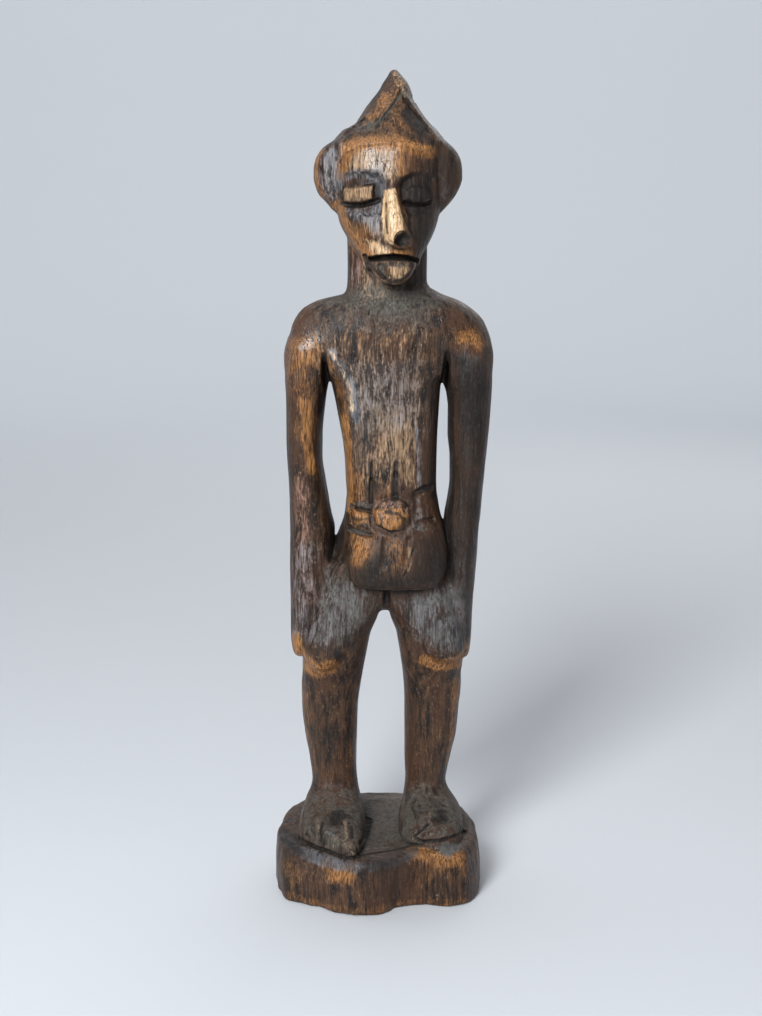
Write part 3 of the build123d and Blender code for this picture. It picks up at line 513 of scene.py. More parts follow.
def belly_detail(x, y, z, d):
    g = front_gate(y, -5.5, -3.0)
    nx, nz = (x - NAVEL[0]) / 5.3, (z - NAVEL[1]) / 4.5
    # eight-sided disc with a groove round it
    ang = np.arctan2(nz, nx)
    rr = np.hypot(nx, nz)
    seg = np.pi / 4
    k = np.cos(np.mod(ang + 0.2, seg) - seg / 2) / np.cos(seg / 2)
    rr = rr * (0.1 + 0.9 * k) * (1 + 0.035 * np.sin(ang * 3 + 1.0))
    d = d + g * 0.45 * sstep(1.40, 1.10, rr) * sstep(0.88, 1.06, rr)
    d = d - g * 0.9 * sstep(1.04, 0.84, rr) - g * 0.35 * sstep(0.85, 0.0, rr)
    # facets on the disc
    w = sstep(1.02, 0.85, rr)
    d = d + g * 0.75 * w * sstep(0.0, 3.2, (x - 6.0) * 0.7 + (110.6 - z))
    d = d + g * 0.45 * w * sstep(0.0, 2.6, (z - 112.4) + 0.4 * (2.4 - x))
    d = d + g * 0.35 * w * sstep(0.0, 2.4, (x - 6.6) + 0.25 * (z - 111))
    # tab beside the disc, cut in on three sides
    d = d + g * 0.7 * sstep(0.75, 0.1, line_dist(x, z, [(-7.6, 113.3), (-4.6, 112.7), (-1.7, 112.3)]))
    d = d + g * 0.7 * sstep(0.7, 0.1, line_dist(x, z, [(-7.3, 112.9), (-6.7, 110.4), (-6.2, 108.7)]))
    d = d + g * 0.9 * sstep(1.1, 0.1, line_dist(x, z, [(-7.6, 107.4), (-4.6, 106.5), (-1.6, 106.2)]))
    d = d - g * 0.3 * sstep(0.3, -0.8, poly_dist(x, z, [(-6.8, 112.4), (-2.0, 111.7), (-1.8, 107.6), (-5.9, 108.4)]))
    # two notches on the other side
    d = d + g * 1.1 * sstep(1.5, 0.1, line_dist(x, z, [(10.8, 117.4), (12.6, 118.3), (14.6, 118.2)]))
    d = d + g * 0.95 * sstep(1.4, 0.1, line_dist(x, z, [(11.0, 109.0), (12.8, 109.6), (14.8, 109.7)]))
    d = d + g * 0.5 * sstep(1.3, 0.1, line_dist(x, z, [(10.8, 116.0), (10.6, 112.5)]))
    # upright gouges above and below the disc, narrow at the top
    d = d + g * 0.75 * sstep(1.0, 0.1, line_dist(x, z, [(-1.6, 121.0), (-1.7, 117.6), (-1.8, 115.2)])) 
    d = d + g * 0.6 * sstep(0.7, 0.05, line_dist(x, z, [(-1.3, 126.2), (-1.6, 121.0)]))
    d = d + g * 0.6 * sstep(1.5, 0.1, line_dist(x, z, [(5.0, 122.6), (4.9, 118.4), (4.8, 116.6)]))
    d = d + g * 0.5 * sstep(0.8, 0.05, line_dist(x, z, [(5.2, 126.4), (5.0, 122.0)]))
    d = d + g * 0.65 * sstep(1.7, 0.1, line_dist(x, z, [(2.4, 104.8), (2.0, 101.0), (1.6, 98.4)]))
    d = d + g * 0.55 * sstep(1.2, 0.1, line_dist(x, z, [(8.6, 105.4), (7.9, 101.6), (7.4, 98.8)]))
    d = d + g * 0.5 * sstep(0.55, 0.0, line_dist(x, z, [(9.8, 102.6), (8.8, 99.0), (7.4, 95.6)]))
    d = d + g * 0.3 * sstep(0.5, 0.0, line_dist(x, z, [(-7.2, 104.0), (-6.2, 100.2)]))
    return d


def stroke_dist(x, y, z, pts):
    """Distance in space to a polyline."""
    best = np.full(x.shape, 1e9, F4)
    if len(pts) == 1:
        (ax, ay, az), = pts
        return np.sqrt((x - ax) ** 2 + (y - ay) ** 2 + (z - az) ** 2)
    for (ax, ay, az), (bx, by, bz) in zip(pts[:-1], pts[1:]):
        dx, dy, dz = bx - ax, by - ay, bz - az
        t = np.clip(((x - ax) * dx + (y - ay) * dy + (z - az) * dz) / (dx * dx + dy * dy + dz * dz), 0, 1)
        best = np.minimum(best, (x - ax - t * dx) ** 2 + (y - ay - t * dy) ** 2 + (z - az - t * dz) ** 2)
    return np.sqrt(best)


FOOT_CUTS = [
    (3.30, 4.60, [(-12.5, -10.4, 24.2), (-12.4, -13.3, 23.3)]),
    (1.90, 1.90, [(-10.5, -9.3, 24.3), (-9.3, -10.8, 23.7)]),
    (1.70, 1.50, [(-13.7, -15.7, 22.5), (-11.7, -17.0, 22.2)]),
    (1.10, 1.00, [(-7.2, -14.7, 22.1), (-7.2, -18.8, 20.9)]),
    (0.90, -0.80, [(-9.2, -13.3, 22.9), (-8.5, -20.2, 20.9)]),
    (0.65, 1.30, [(-15.5, -13.4, 23.0), (-15.9, -16.7, 21.4), (-16.0, -16.6, 18.4)]),
    (0.80, -0.65, [(-17.0, -11.9, 23.2), (-16.8, -15.9, 21.1)]),
    (0.90, 0.55, [(-18.2, -10.2, 23.4), (-18.9, -13.0, 22.2), (-18.0, -14.8, 19.4)]),
    (0.90, 0.50, [(-21.2, -1.5, 22.7), (-21.4, -9.3, 21.2), (-19.5, -13.5, 18.2)]),
    (1.60, 0.60, [(-4.3, 23.0, 15.5), (-3.5, 12.4, 16.2), (-2.6, 2.8, 15.9)]),
    (1.00, 0.80, [(-2.6, 2.8, 15.9), (-3.3, -6.8, 16.4), (-4.9, -18.7, 18.7)]),
    (2.70, 4.60, [(17.3, -11.1, 22.9), (19.7, -10.3, 22.7)]),
    (2.10, 2.20, [(18.0, -8.4, 23.9), (19.1, -9.0, 23.2)]),
    (2.20, 0.90, [(16.4, -4.5, 25.9), (18.3, -6.8, 24.4)]),
    (0.90, -0.50, [(14.8, -8.7, 24.0), (15.5, -12.1, 22.4), (16.1, -14.0, 21.4)]),
    (1.00, -0.50, [(19.9, -2.8, 25.2), (21.8, -6.8, 22.6), (23.5, -7.2, 20.6)]),
    (1.90, -0.95, [(12.6, -16.1, 19.6), (15.2, -15.3, 20.5), (18.3, -14.3, 21.0), (21.3, -11.8, 21.1), (23.5, -7.7, 20.5)]),
    (0.80, 1.10, [(10.6, -15.2, 19.5), (12.6, -14.3, 21.0), (14.4, -12.7, 22.1)]),
    (0.85, 1.30, [(10.9, -15.7, 18.9), (13.2, -16.8, 18.4), (17.7, -16.7, 18.7), (21.2, -14.9, 19.1), (25.4, -4.8, 16.4)]),
    (0.55, 0.80, [(24.2, -6.2, 19.8), (23.6, -10.8, 18.8)]),
    (0.55, 0.70, [(10.0, -5.6, 24.5), (11.0, -10.1, 22.8)]),
    (0.55, 0.75, [(-22.3, -10.2, 16.7), (-17.7, -15.4, 16.3), (-14.8, -17.9, 16.5), (-10.5, -21.5, 16.4), (-7.1, -23.8, 16.9), (-4.9, -21.4, 16.4), (-0.7, -18.4, 15.9), (3.5, -16.6, 15.6), (7.0, -15.4, 16.0), (9.8, -15.4, 16.9)]),
    (0.70, 0.50, [(10.9, -16.2, 17.3), (15.4, -17.2, 17.7), (17.1, -17.2, 17.4)]),
]


def foot_detail(x, y, z, d):
    for rad, dep, pts in FOOT_CUTS:
        lo, hi = np.min(pts, 0) - rad - 0.5, np.max(pts, 0) + rad + 0.5
        i = np.flatnonzero((x > lo[0]) & (x < hi[0]) & (y > lo[1]) & (y < hi[1]) & (z > lo[2]) & (z < hi[2]))
        if i.size:
            d[i] = d[i] + F4(dep) * sstep(rad, 0.12 * rad, stroke_dist(x[i], y[i], z[i], pts))
    return d


ALL_LO, ALL_HI = np.array([-31.0, -29.5, -1.2]), np.array([33.4, 30.6, 231.6])


def box_of(lo, hi):
    return np.array(lo, float), np.array(hi, float)


def field(x, y, z, noise=True):
    x, y, z = x.astype(F4), y.astype(F4), z.astype(F4)
    d = np.full(x.shape, 9.0, F4)

    def within(lo, hi):
        return np.flatnonzero((z > lo[2]) & (z < hi[2]) & (x > lo[0]) & (x < hi[0]) & (y > lo[1]) & (y < hi[1]))

    def add(fn, k, lo=None, hi=None):
        i = within(fn.lo if lo is None else lo, fn.hi if hi is None else hi)
        if i.size:
            d[i] = smin(d[i], fn(x[i], y[i], z[i]).astype(F4), k)

    def alter(fn, lo, hi):
        i = within(lo, hi)
        if i.size:
            d[i] = fn(x[i], y[i], z[i], d[i])

    # body core
    add(TORSO, 0.5)
    add(HIPS, 3.4)
    add(YOKE, 3.0)
    add(RIGHT_ARM, 1.4)
    add(LEFT_ARM, 1.4)
    add(NECK, 1.8)
    # legs on their own, then joined to the hips
    legs = np.full(x.shape, 9.0, F4)

    def addleg(fn, k):
        i = within(fn.lo, fn.hi)
        if i.size:
            legs[i] = smin(legs[i], fn(x[i], y[i], z[i]).astype(F4), k)

    addleg(RIGHT_SHIN, 0.4)
    addleg(LEFT_SHIN, 0.4)
    addleg(RIGHT_THIGH, 0.9)
    addleg(LEFT_THIGH, 0.9)
    i = np.flatnonzero(legs < 8.0)
    if i.size:
        d[i] = smin(d[i], legs[i], (0.9 + 2.1 * sstep(82.0, 88.0, z[i])).astype(F4))
    add(BELLY, 0.9)
    # feet and pedestal
    def foot_r(a, b, c):
        f = RIGHT_FOOT(a, b, c)
        return smax(f, -0.66 * (a + 22.4) - 0.75 * (b + 11.0), 2.5)
    i = within(RIGHT_FOOT.lo, RIGHT_FOOT.hi)
    if i.size:
        d[i] = smin(d[i], foot_r(x[i], y[i], z[i]).astype(F4), 1.2)
    add(LEFT_FOOT, 1.2)
    i = np.flatnonzero(z < 21.5)
    if i.size:
        d[i] = smin(d[i], pedestal_d(x[i], y[i], z[i]).astype(F4), 0.9)
    alter(foot_detail, (-26, -30, 13), (27, 6, 31))
    
    # head
    i = within((-23, -24, 168), (29, 26, 236))
    if i.size:
        a, b, c = x[i], y[i], z[i]
        h = FACE(a, b, c)
        p1 = 0.692 * (b + 11.0) - 0.721 * (c - 173.4)
        p2 = 0.17 * (b - 4.0) - 0.985 * (c - 187.8)
        h = smax(h, smin(p1, p2, 2.0), 1.6)
        h = smin(h, CREST(a, b, c), 0.6)
        h = smin(h, RIGHT_EAR(a, b, c), 1.0)
        h = smin(h, LEFT_EAR(a, b, c), 1.0)
        m = (c > 182) & (c < 208) & (b < -3)
        j = np.flatnonzero(m)
        if j.size:
            h[j] = smin(h[j], NOSE(a[j], b[j], c[j]), 0.7)
        j = np.flatnonzero((c > 188) & (c < 207) & (b < -3))
        if j.size:
            h[j] = face_detail(a[j], b[j], c[j], h[j])
        j = np.flatnonzero((c > 171) & (c < 185) & (b < -5))
        if j.size:
            h[j] = mouth_detail(a[j], b[j], c[j], h[j])
        j = np.flatnonzero((c > 184) & (c < 202) & (b < -10))
        if j.size:
            h[j] = nose_detail(a[j], b[j], c[j], h[j])
        j = np.flatnonzero((c > 192) & (b < 6))
        if j.size:
            h[j] = hood_detail(a[j], b[j], c[j], h[j])
        # broken nostril: a round hollow low on the left of the nose
        h = smax(h, -(np.sqrt((a - 6.5) ** 2 + ((b + 17.0) * 0.85) ** 2 + ((c - 186.2)) ** 2) - 2.15), 0.4)
        d[i] = smin(d[i], h.astype(F4), 0.9)
    alter(belly_detail, (-11, -20, 90), (21, -2, 129))
    # cleft behind and between the thighs
    def cleft(a, b, c, e):
        return e + 1.3 * sstep(1.7, 0.0, np.abs(a - 2.9)) * sstep(12.0, 15.0, b) * sstep(101.0, 94.0, c) * sstep(80.0, 84.0, c)
    alter(cleft, (-2, 8, 78), (8, 26, 104))
    def front_cleft(a, b, c, e):
        return e + 1.6 * sstep(1.3, 0.0, np.abs(a - 2.6)) * sstep(-3.5, -5.0, b) * sstep(91.0, 88.0, c) * sstep(80.0, 83.0, c)
    alter(front_cleft, (-1, -14, 79), (7, 0, 92))
    # creases that run up from the arm openings
    def pit_r(a, b, c, e):
        return e + 5.5 * sstep(1.25, 0.1, line_dist(a, c, [(-13.6, 144.0), (-14.1, 149.0), (-14.4, 155.6)])) * sstep(157.6, 150.0, c) * sstep(143.0, 144.5, c) * front_gate(b, -3.0, 0.0)
    alter(pit_r, (-18, -14, 143), (-8, 1, 157))

    def pit_l(a, b, c, e):
        return e + 5.5 * sstep(1.25, 0.1, line_dist(a, c, [(18.4, 144.0), (18.6, 149.0), (18.9, 156.0)])) * sstep(158.0, 150.4, c) * sstep(143.0, 144.5, c) * front_gate(b, -3.0, 0.0)
    alter(pit_l, (14, -14, 143), (23, 1, 158))
    # spine furrow
    def back(a, b, c, e):
        e = e + 0.8 * sstep(3.2, 0.0, np.abs(a - 3.2)) * sstep(8.0, 12.0, b) * sstep(104.0, 112.0, c) * sstep(166.0, 156.0, c)
        return e
    alter(back, (-4, 5, 100), (10, 20, 170))
    if noise:
        i = np.flatnonzero(np.abs(d) < 2.5)
        a, b, c = x[i], y[i], z[i]
        amp = np.where(c < 17, 0.6, 1.0).astype(F4)
        n = 0.20 * N1(a * 0.19 + 7, b * 0.19 + 3, c * 0.055 + 1) + 0.09 * N2(a * 0.55, b * 0.55, c * 0.11) + 0.045 * N3(a * 1.3, b * 1.3, c * 0.20)
        d[i] = d[i] + (amp * n).astype(F4)
    return d


def sample_grid(h):
    """Field on a grid of spacing h, exact near the surface only."""
    C = 4
    n = np.ceil((ALL_HI - ALL_LO) / (h * C)).astype(int) + 1
    cx, cy, cz = [ALL_LO[k] + h * C * np.arange(n[k]) for k in range(3)]
    X, Y, Z = np.meshgrid(cx, cy, cz, indexing="ij")
    coarse = field(X.ravel(), Y.ravel(), Z.ravel(), noise=False).reshape(n)
    lim = h * C * 1.05 + 0.9
    near = np.abs(coarse) < lim + h * C * 0.9
    m = near.copy()
    # a cell block is fine if any of its eight coarse corners is near, or they differ in sign
    blk = np.zeros(n - 1, bool)
    neg = coarse < 0
    cnt = np.zeros(n - 1, np.int8)
    for a in (0, 1):
        for b in (0, 1):
            for c in (0, 1):
                s = np.s_[a:n[0] - 1 + a, b:n[1] - 1 + b, c:n[2] - 1 + c]
                blk |= m[s]
                cnt += neg[s]
    blk |= (cnt > 0) & (cnt < 8)
    N = (n - 1) * C + 1
    V = np.empty(N, F4)
    fillc = np.where(coarse < 0, -5.0, 5.0).astype(F4)
    big = np.repeat(np.repeat(np.repeat(fillc[:-1, :-1, :-1], C, 0), C, 1), C, 2)
    V[:] = 5.0
    V[:-1, :-1, :-1] = big
    M = np.zeros(N, bool)
    up = np.repeat(np.repeat(np.repeat(blk, C, 0), C, 1), C, 2)
    M[:-1, :-1, :-1] |= up
    M[1:, :-1, :-1] |= up; M[:-1, 1:, :-1] |= up; M[:-1, :-1, 1:] |= up
    M[1:, 1:, :-1] |= up; M[1:, :-1, 1:] |= up; M[:-1, 1:, 1:] |= up; M[1:, 1:, 1:] |= up
    idx = np.flatnonzero(M.ravel())
    ii, jj, kk = np.unravel_index(idx, N)
    out = np.empty(idx.size, F4)
    step = 600000
    for s in range(0, idx.size, step):
        e = min(s + step, idx.size)
        out[s:e] = field(ALL_LO[0] + h * ii[s:e], ALL_LO[1] + h * jj[s:e], ALL_LO[2] + h * kk[s:e])
    V.ravel()[idx] = out
    return V


def surface_nets(V, h):
    inside = V < 0
    nx, ny, nz = V.shape
    corners = [(a, b, c) for a in (0, 1) for b in (0, 1) for c in (0, 1)]
    cnt = np.zeros((nx - 1, ny - 1, nz - 1), np.int8)
    for a, b, c in corners:
        cnt += inside[a:nx - 1 + a, b:ny - 1 + b, c:nz - 1 + c]
    act = (cnt > 0) & (cnt < 8)
    ci, cj, ck = np.nonzero(act)
    vid = np.full(act.shape, -1, np.int32)
    vid[ci, cj, ck] = np.arange(ci.size)
    val = {q: V[ci + q[0], cj + q[1], ck + q[2]] for q in corners}
    acc = np.zeros((ci.size, 3)); num = np.zeros(ci.size)
    for q in corners:
        for ax in range(3):
            if q[ax] == 0:
                p = list(q); p[ax] = 1; p = tuple(p)
                a, b = val[q], val[p]
                cr = (a < 0) != (b < 0)
                t = a[cr] / (a[cr] - b[cr])
                pos = np.array(q, float)[None, :].repeat(cr.sum(), 0)
                pos[:, ax] += t
                acc[cr] += pos; num[cr] += 1
    P = acc / num[:, None]
    P = (P + np.stack([ci, cj, ck], 1)) * h + ALL_LO
    quads = []
    for ax in range(3):
        sl0 = [slice(1, -1)] * 3; sl1 = [slice(1, -1)] * 3
        sl0[ax] = slice(0, -1); sl1[ax] = slice(1, None)
        a, b = inside[tuple(sl0)], inside[tuple(sl1)]
        for sign in (0, 1):
            cr = (a & ~b) if sign == 0 else (~a & b)
            i, j, k = np.nonzero(cr)
            o = [1, 1, 1]; o[ax] = 0
            g = np.stack([i + o[0], j + o[1], k + o[2]], 1)
            u, w = [t for t in range(3) if t != ax]
            def cell(du, dw):
                c = g.copy(); c[:, u] -= du; c[:, w] -= dw
                return vid[c[:, 0], c[:, 1], c[:, 2]]
            q = np.stack([cell(1, 1), cell(0, 1), cell(0, 0), cell(1, 0)], 1)
            flip = (sign == 1) ^ (ax == 1)
            quads.append(q[:, ::-1] if flip else q)
    return P, np.concatenate(quads)


def gradient(P, e=0.12):
    x, y, z = P.T
    n = len(P)
    X = np.concatenate([x + e, x - e, x, x, x, x]); Y = np.concatenate([y, y, y + e, y - e, y, y]); Z = np.concatenate([z, z, z, z, z + e, z - e])
    f = field(X, Y, Z).astype(float)
    g = np.stack([f[:n] - f[n:2 * n], f[2 * n:3 * n] - f[3 * n:4 * n], f[4 * n:5 * n] - f[5 * n:]], 1) / (2 * e)
    return g


def build(h):
    V = sample_grid(h)
    P, Q = surface_nets(V, h)
    # one step onto the exact surface
    g = gradient(P)
    d = field(P[:, 0], P[:, 1], P[:, 2]).astype(float)
    m = np.linalg.norm(g, axis=1)
    step = np.clip(d / np.maximum(m, 0.4), -0.35 * h, 0.35 * h)
    P = P - (g / np.maximum(m, 1e-6)[:, None]) * step[:, None]
    return P, Q


# ================================================================ scene
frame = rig.load()
cad_lo, cad_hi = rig.bounds()
scene = bpy.context.scene
for o in list(bpy.data.objects):
    if o.name in ("Cube", "Light", "Camera"):
        bpy.data.objects.remove(o)
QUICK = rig.quick()
H = 0.8 if QUICK else 0.4
MM = 0.001

V = sample_grid(H)


def soften(V, P, Q):
    """Blurs the field where the mesh would touch itself along an edge, so that every edge has two faces."""
    E = np.sort(np.concatenate([Q[:, [0, 1]], Q[:, [1, 2]], Q[:, [2, 3]], Q[:, [3, 0]]]), 1).astype(np.int64)
    key, cnt = np.unique(E[:, 0] * 100000000 + E[:, 1], return_counts=True)
    bad = key[cnt != 2]
    if not bad.size:
        return 0
    pts = P[np.unique(np.concatenate([bad // 100000000, bad % 100000000]))]
    idx = np.unique(np.round((pts - ALL_LO) / H).astype(int), axis=0)
    for i, j, k in idx:
        s = np.s_[i - 2:i + 3, j - 2:j + 3, k - 2:k + 3]
        b = V[i - 3:i + 4, j - 3:j + 4, k - 3:k + 4].astype(float)
        acc = np.zeros((5, 5, 5))
        for a in range(3):
            for c in range(3):
                for e in range(3):
                    acc += b[a:a + 5, c:c + 5, e:e + 5]
        V[s] = acc / 27
    return len(bad)


for _ in range(8):
    P, Q = surface_nets(V, H)
    left = soften(V, P, Q)
    print("edges with more than two faces:", left)
    if not left:
        break

g = gradient(P)
dd = field(P[:, 0], P[:, 1], P[:, 2]).astype(float)
m = np.linalg.norm(g, axis=1)
P = P - (g / np.maximum(m, 1e-6)[:, None]) * np.clip(dd / np.maximum(m, 0.4), -0.3 * H, 0.3 * H)[:, None]
P[:, 2] = np.maximum(P[:, 2], 0.0)


def mesh_object(name, verts, faces):
    me = bpy.data.meshes.new(name)
    me.from_pydata((np.asarray(verts, float) * MM).tolist(), [], faces if isinstance(faces, list) else faces.tolist())
    me.update()
    ob = bpy.data.objects.new(name, me)
    scene.collection.objects.link(ob)
    return ob


def fast_quads(name, P, Q):
    me = bpy.data.meshes.new(name)
    me.vertices.add(len(P))
    me.vertices.foreach_set("co", (P * MM).astype(np.float32).ravel())
    me.loops.add(Q.size)
    me.loops.foreach_set("vertex_index", Q.astype(np.int32).ravel())
    me.polygons.add(len(Q))
    me.polygons.foreach_set("loop_start", np.arange(0, Q.size, 4, dtype=np.int32))
    me.update(calc_edges=True)
    me.validate()
    ob = bpy.data.objects.new(name, me)
    scene.collection.objects.link(ob)
    return ob


body = fast_quads("whole", P, Q)

# ---------------------------------------------------------------- node boundaries, as in the CAD source
ARM_R = [(-22.9, 61.0), (-20.6, 70.0), (-11.2, 105.0), (-11.2, 109.0), (-12.2, 118.0), (-12.6, 139.0), (-12.95, 147.0), (-14.2, 151.0), (-14.2, 176.0)]
ARM_L = [(26.7, 61.0), (24.7, 70.0), (18.4, 108.0), (18.3, 112.0), (18.5, 125.0), (18.3, 139.0), (17.45, 147.5), (18.6, 151.5), (18.6, 176.0)]


def at(line, z):
    zs = [p[1] for p in line]
    return float(np.interp(z, zs, [p[0] for p in line]))


def part_of(line, z0, z1):
    return [(at(line, z0), z0)] + [p for p in line if z0 < p[1] < z1] + [(at(line, z1), z1)]


def prism_xz(name, pts, y0=-40.0, y1=45.0):
    n = len(pts)
    v = [(x, y0, z) for x, z in pts] + [(x, y1, z) for x, z in pts]
    f = [list(range(n)), list(range(2 * n - 1, n - 1, -1))] + [[(i + 1) % n, i, n + i, n + (i + 1) % n] for i in range(n)]
    return mesh_object(name, v, f)


def prism_yz(name, pts, x0=-45.0, x1=50.0):
    n = len(pts)
    v = [(x0, y, z) for y, z in pts] + [(x1, y, z) for y, z in pts]
    f = [list(range(n)), list(range(2 * n - 1, n - 1, -1))] + [[(i + 1) % n, i, n + i, n + (i + 1) % n] for i in range(n)]
    return mesh_object(name, v, f)


def fix_normals(ob):
    import bmesh
    bm = bmesh.new(); bm.from_mesh(ob.data)
    bmesh.ops.recalc_face_normals(bm, faces=bm.faces)
    bm.to_mesh(ob.data); bm.free()
    return ob


def between(name, z0, z1, left=None, right=None):
    """Cutter between two heights, bounded by the arm lines or by fixed x."""
    l = part_of(left, z0, z1) if isinstance(left, list) else [(left, z0), (left, z1)]
    r = part_of(right, z0, z1) if isinstance(right, list) else [(right, z0), (right, z1)]
    return fix_normals(prism_xz(name, l + r[::-1]))


JAW = [(-30.0, 155.16), (-11.0, 173.2), (4.0, 187.6), (30.0, 192.1)]
BIGX = 48.0
top_of_neck = JAW + [(30.0, 171.5), (-13.75, 171.5)]
CUTS = {
    "pedestal": (between("c", -5, 17.0, -BIGX, BIGX), None),
    "right_foot": (between("c", 17.0, 28.0, -BIGX, 3.0), None),
    "left_foot": (between("c", 17.0, 28.0, 3.0, BIGX), None),
    "right_leg": (fix_normals(prism_xz("c", [(-BIGX, 28.0), (-BIGX, 61.0)] + part_of(ARM_R, 61.0, 83.0) + [(2.2, 83.0), (2.2, 28.0)])), None),
    "left_leg": (fix_normals(prism_xz("c", [(BIGX, 28.0), (BIGX, 61.0)] + part_of(ARM_L, 61.0, 83.0) + [(2.2, 83.0), (2.2, 28.0)])), None),
    "hips": (between("c", 83.0, 105.0, ARM_R, ARM_L), "-belly"),
    "abdomen": (between("c", 105.0, 123.0, ARM_R, ARM_L), "+belly"),
    "chest": (between("c", 123.0, 171.5, ARM_R, ARM_L), None),
    "right_arm": (fix_normals(prism_xz("c", [(-BIGX, 61.0), (-BIGX, 176.0)] + part_of(ARM_R, 61.0, 176.0)[::-1])), None),
    "left_arm": (fix_normals(prism_xz("c", [(BIGX, 61.0), (BIGX, 176.0)] + part_of(ARM_L, 61.0, 176.0)[::-1])), None),
    "neck": (fix_normals(prism_yz("c", [(-12.77, 171.5), (-11.0, 173.2), (4.0, 187.6), (30.0, 192.1), (30.0, 171.5)])), None),
    "head": (fix_normals(prism_yz("c", [(-30.0, 171.5), (-12.77, 171.5), (-11.0, 173.2), (4.0, 187.6), (30.0, 192.1), (30.0, 209.5), (-30.0, 209.5)], -12.6, 18.2)), None),
    "right_ear_lobe": (fix_normals(prism_yz("c", [(-30.0, 171.5), (-12.77, 171.5), (-11.0, 173.2), (4.0, 187.6), (30.0, 192.1), (30.0, 209.5), (-30.0, 209.5)], -48.0, -12.6)), None),
    "left_ear_lobe": (fix_normals(prism_yz("c", [(-30.0, 171.5), (-12.77, 171.5), (-11.0, 173.2), (4.0, 187.6), (30.0, 192.1), (30.0, 209.5), (-30.0, 209.5)], 18.2, 48.0)), None),
    "coiffure_crest": (between("c", 209.5, 240.0, -BIGX, BIGX), None),
}


def boolean(ob, cutter, op):
    mod = ob.modifiers.new("b", "BOOLEAN")
    mod.object = cutter
    mod.operation = op
    mod.solver = "MANIFOLD"
    dg = bpy.context.evaluated_depsgraph_get()
    me = bpy.data.meshes.new_from_object(ob.evaluated_get(dg))
    ob.modifiers.clear()
    return me


def belly_cutter():
    # the belly overhangs the hips in front, down to its own lower edge
    x0, x1, z0, z1, y0, y1 = -9.9, 20.2, 89.6, 105.0, -40.0, -4.2
    v = [(x, y, z) for z in (z0, z1) for y in (y0, y1) for x in (x0, x1)]
    f = [[0, 2, 3, 1], [4, 5, 7, 6], [0, 1, 5, 4], [2, 6, 7, 3], [0, 4, 6, 2], [1, 3, 7, 5]]
    return fix_normals(mesh_object("belly_box", v, f))


belly = belly_cutter()
pieces = {}
for node, (cutter, extra) in CUTS.items():
    if extra == "-belly":
        cutter.data = boolean(cutter, belly, "DIFFERENCE")
    if extra == "+belly":
        # the belly's box is joined to the abdomen's cutter
        cutter.data = boolean(cutter, belly, "UNION")
    src = bpy.data.objects.new(node + "_src", body.data)
    scene.collection.objects.link(src)
    me = boolean(src, cutter, "INTERSECT")
    bpy.data.objects.remove(src)
    bpy.data.objects.remove(cutter)
    ob = bpy.data.objects.new("wood_" + node, me)
    me.name = "wood_" + node
    scene.collection.objects.link(ob)
    pieces[node] = ob
    print(node, len(me.vertices), len(me.polygons))
bpy.data.objects.remove(belly)
bpy.data.objects.remove(body)


# ================================================================ worn, dusty and polished places, with painted highlights, sheen and shade
def sheet(x, y, z):
    """Place of a point on the camera's sheet, 762 wide and 1016 high."""
    dy, dz = y + 412.0, z - 199.0
    zc = dy * 0.9781476 - dz * 0.2079117
    yc = dy * 0.2079117 + dz * 0.9781476
    return 381.0 + 1500.0 * (x - 1.0) / zc, 508.0 - 1500.0 * yc / zc


# the pale channel is worn wood and in places a painted highlight; the blue-grey channel is partly grey wood and mostly
# a painted sheen of the cool light; the dark channel is dark wood and in places painted shade
TAN, ORANGE, BRIGHT, PINK, DUST, DARK, BLUE, GLOSS = range(8)


def box(u0, v0, u1, v1):
    return [(u0, v0), (u1, v0), (u1, v1), (u0, v1)]
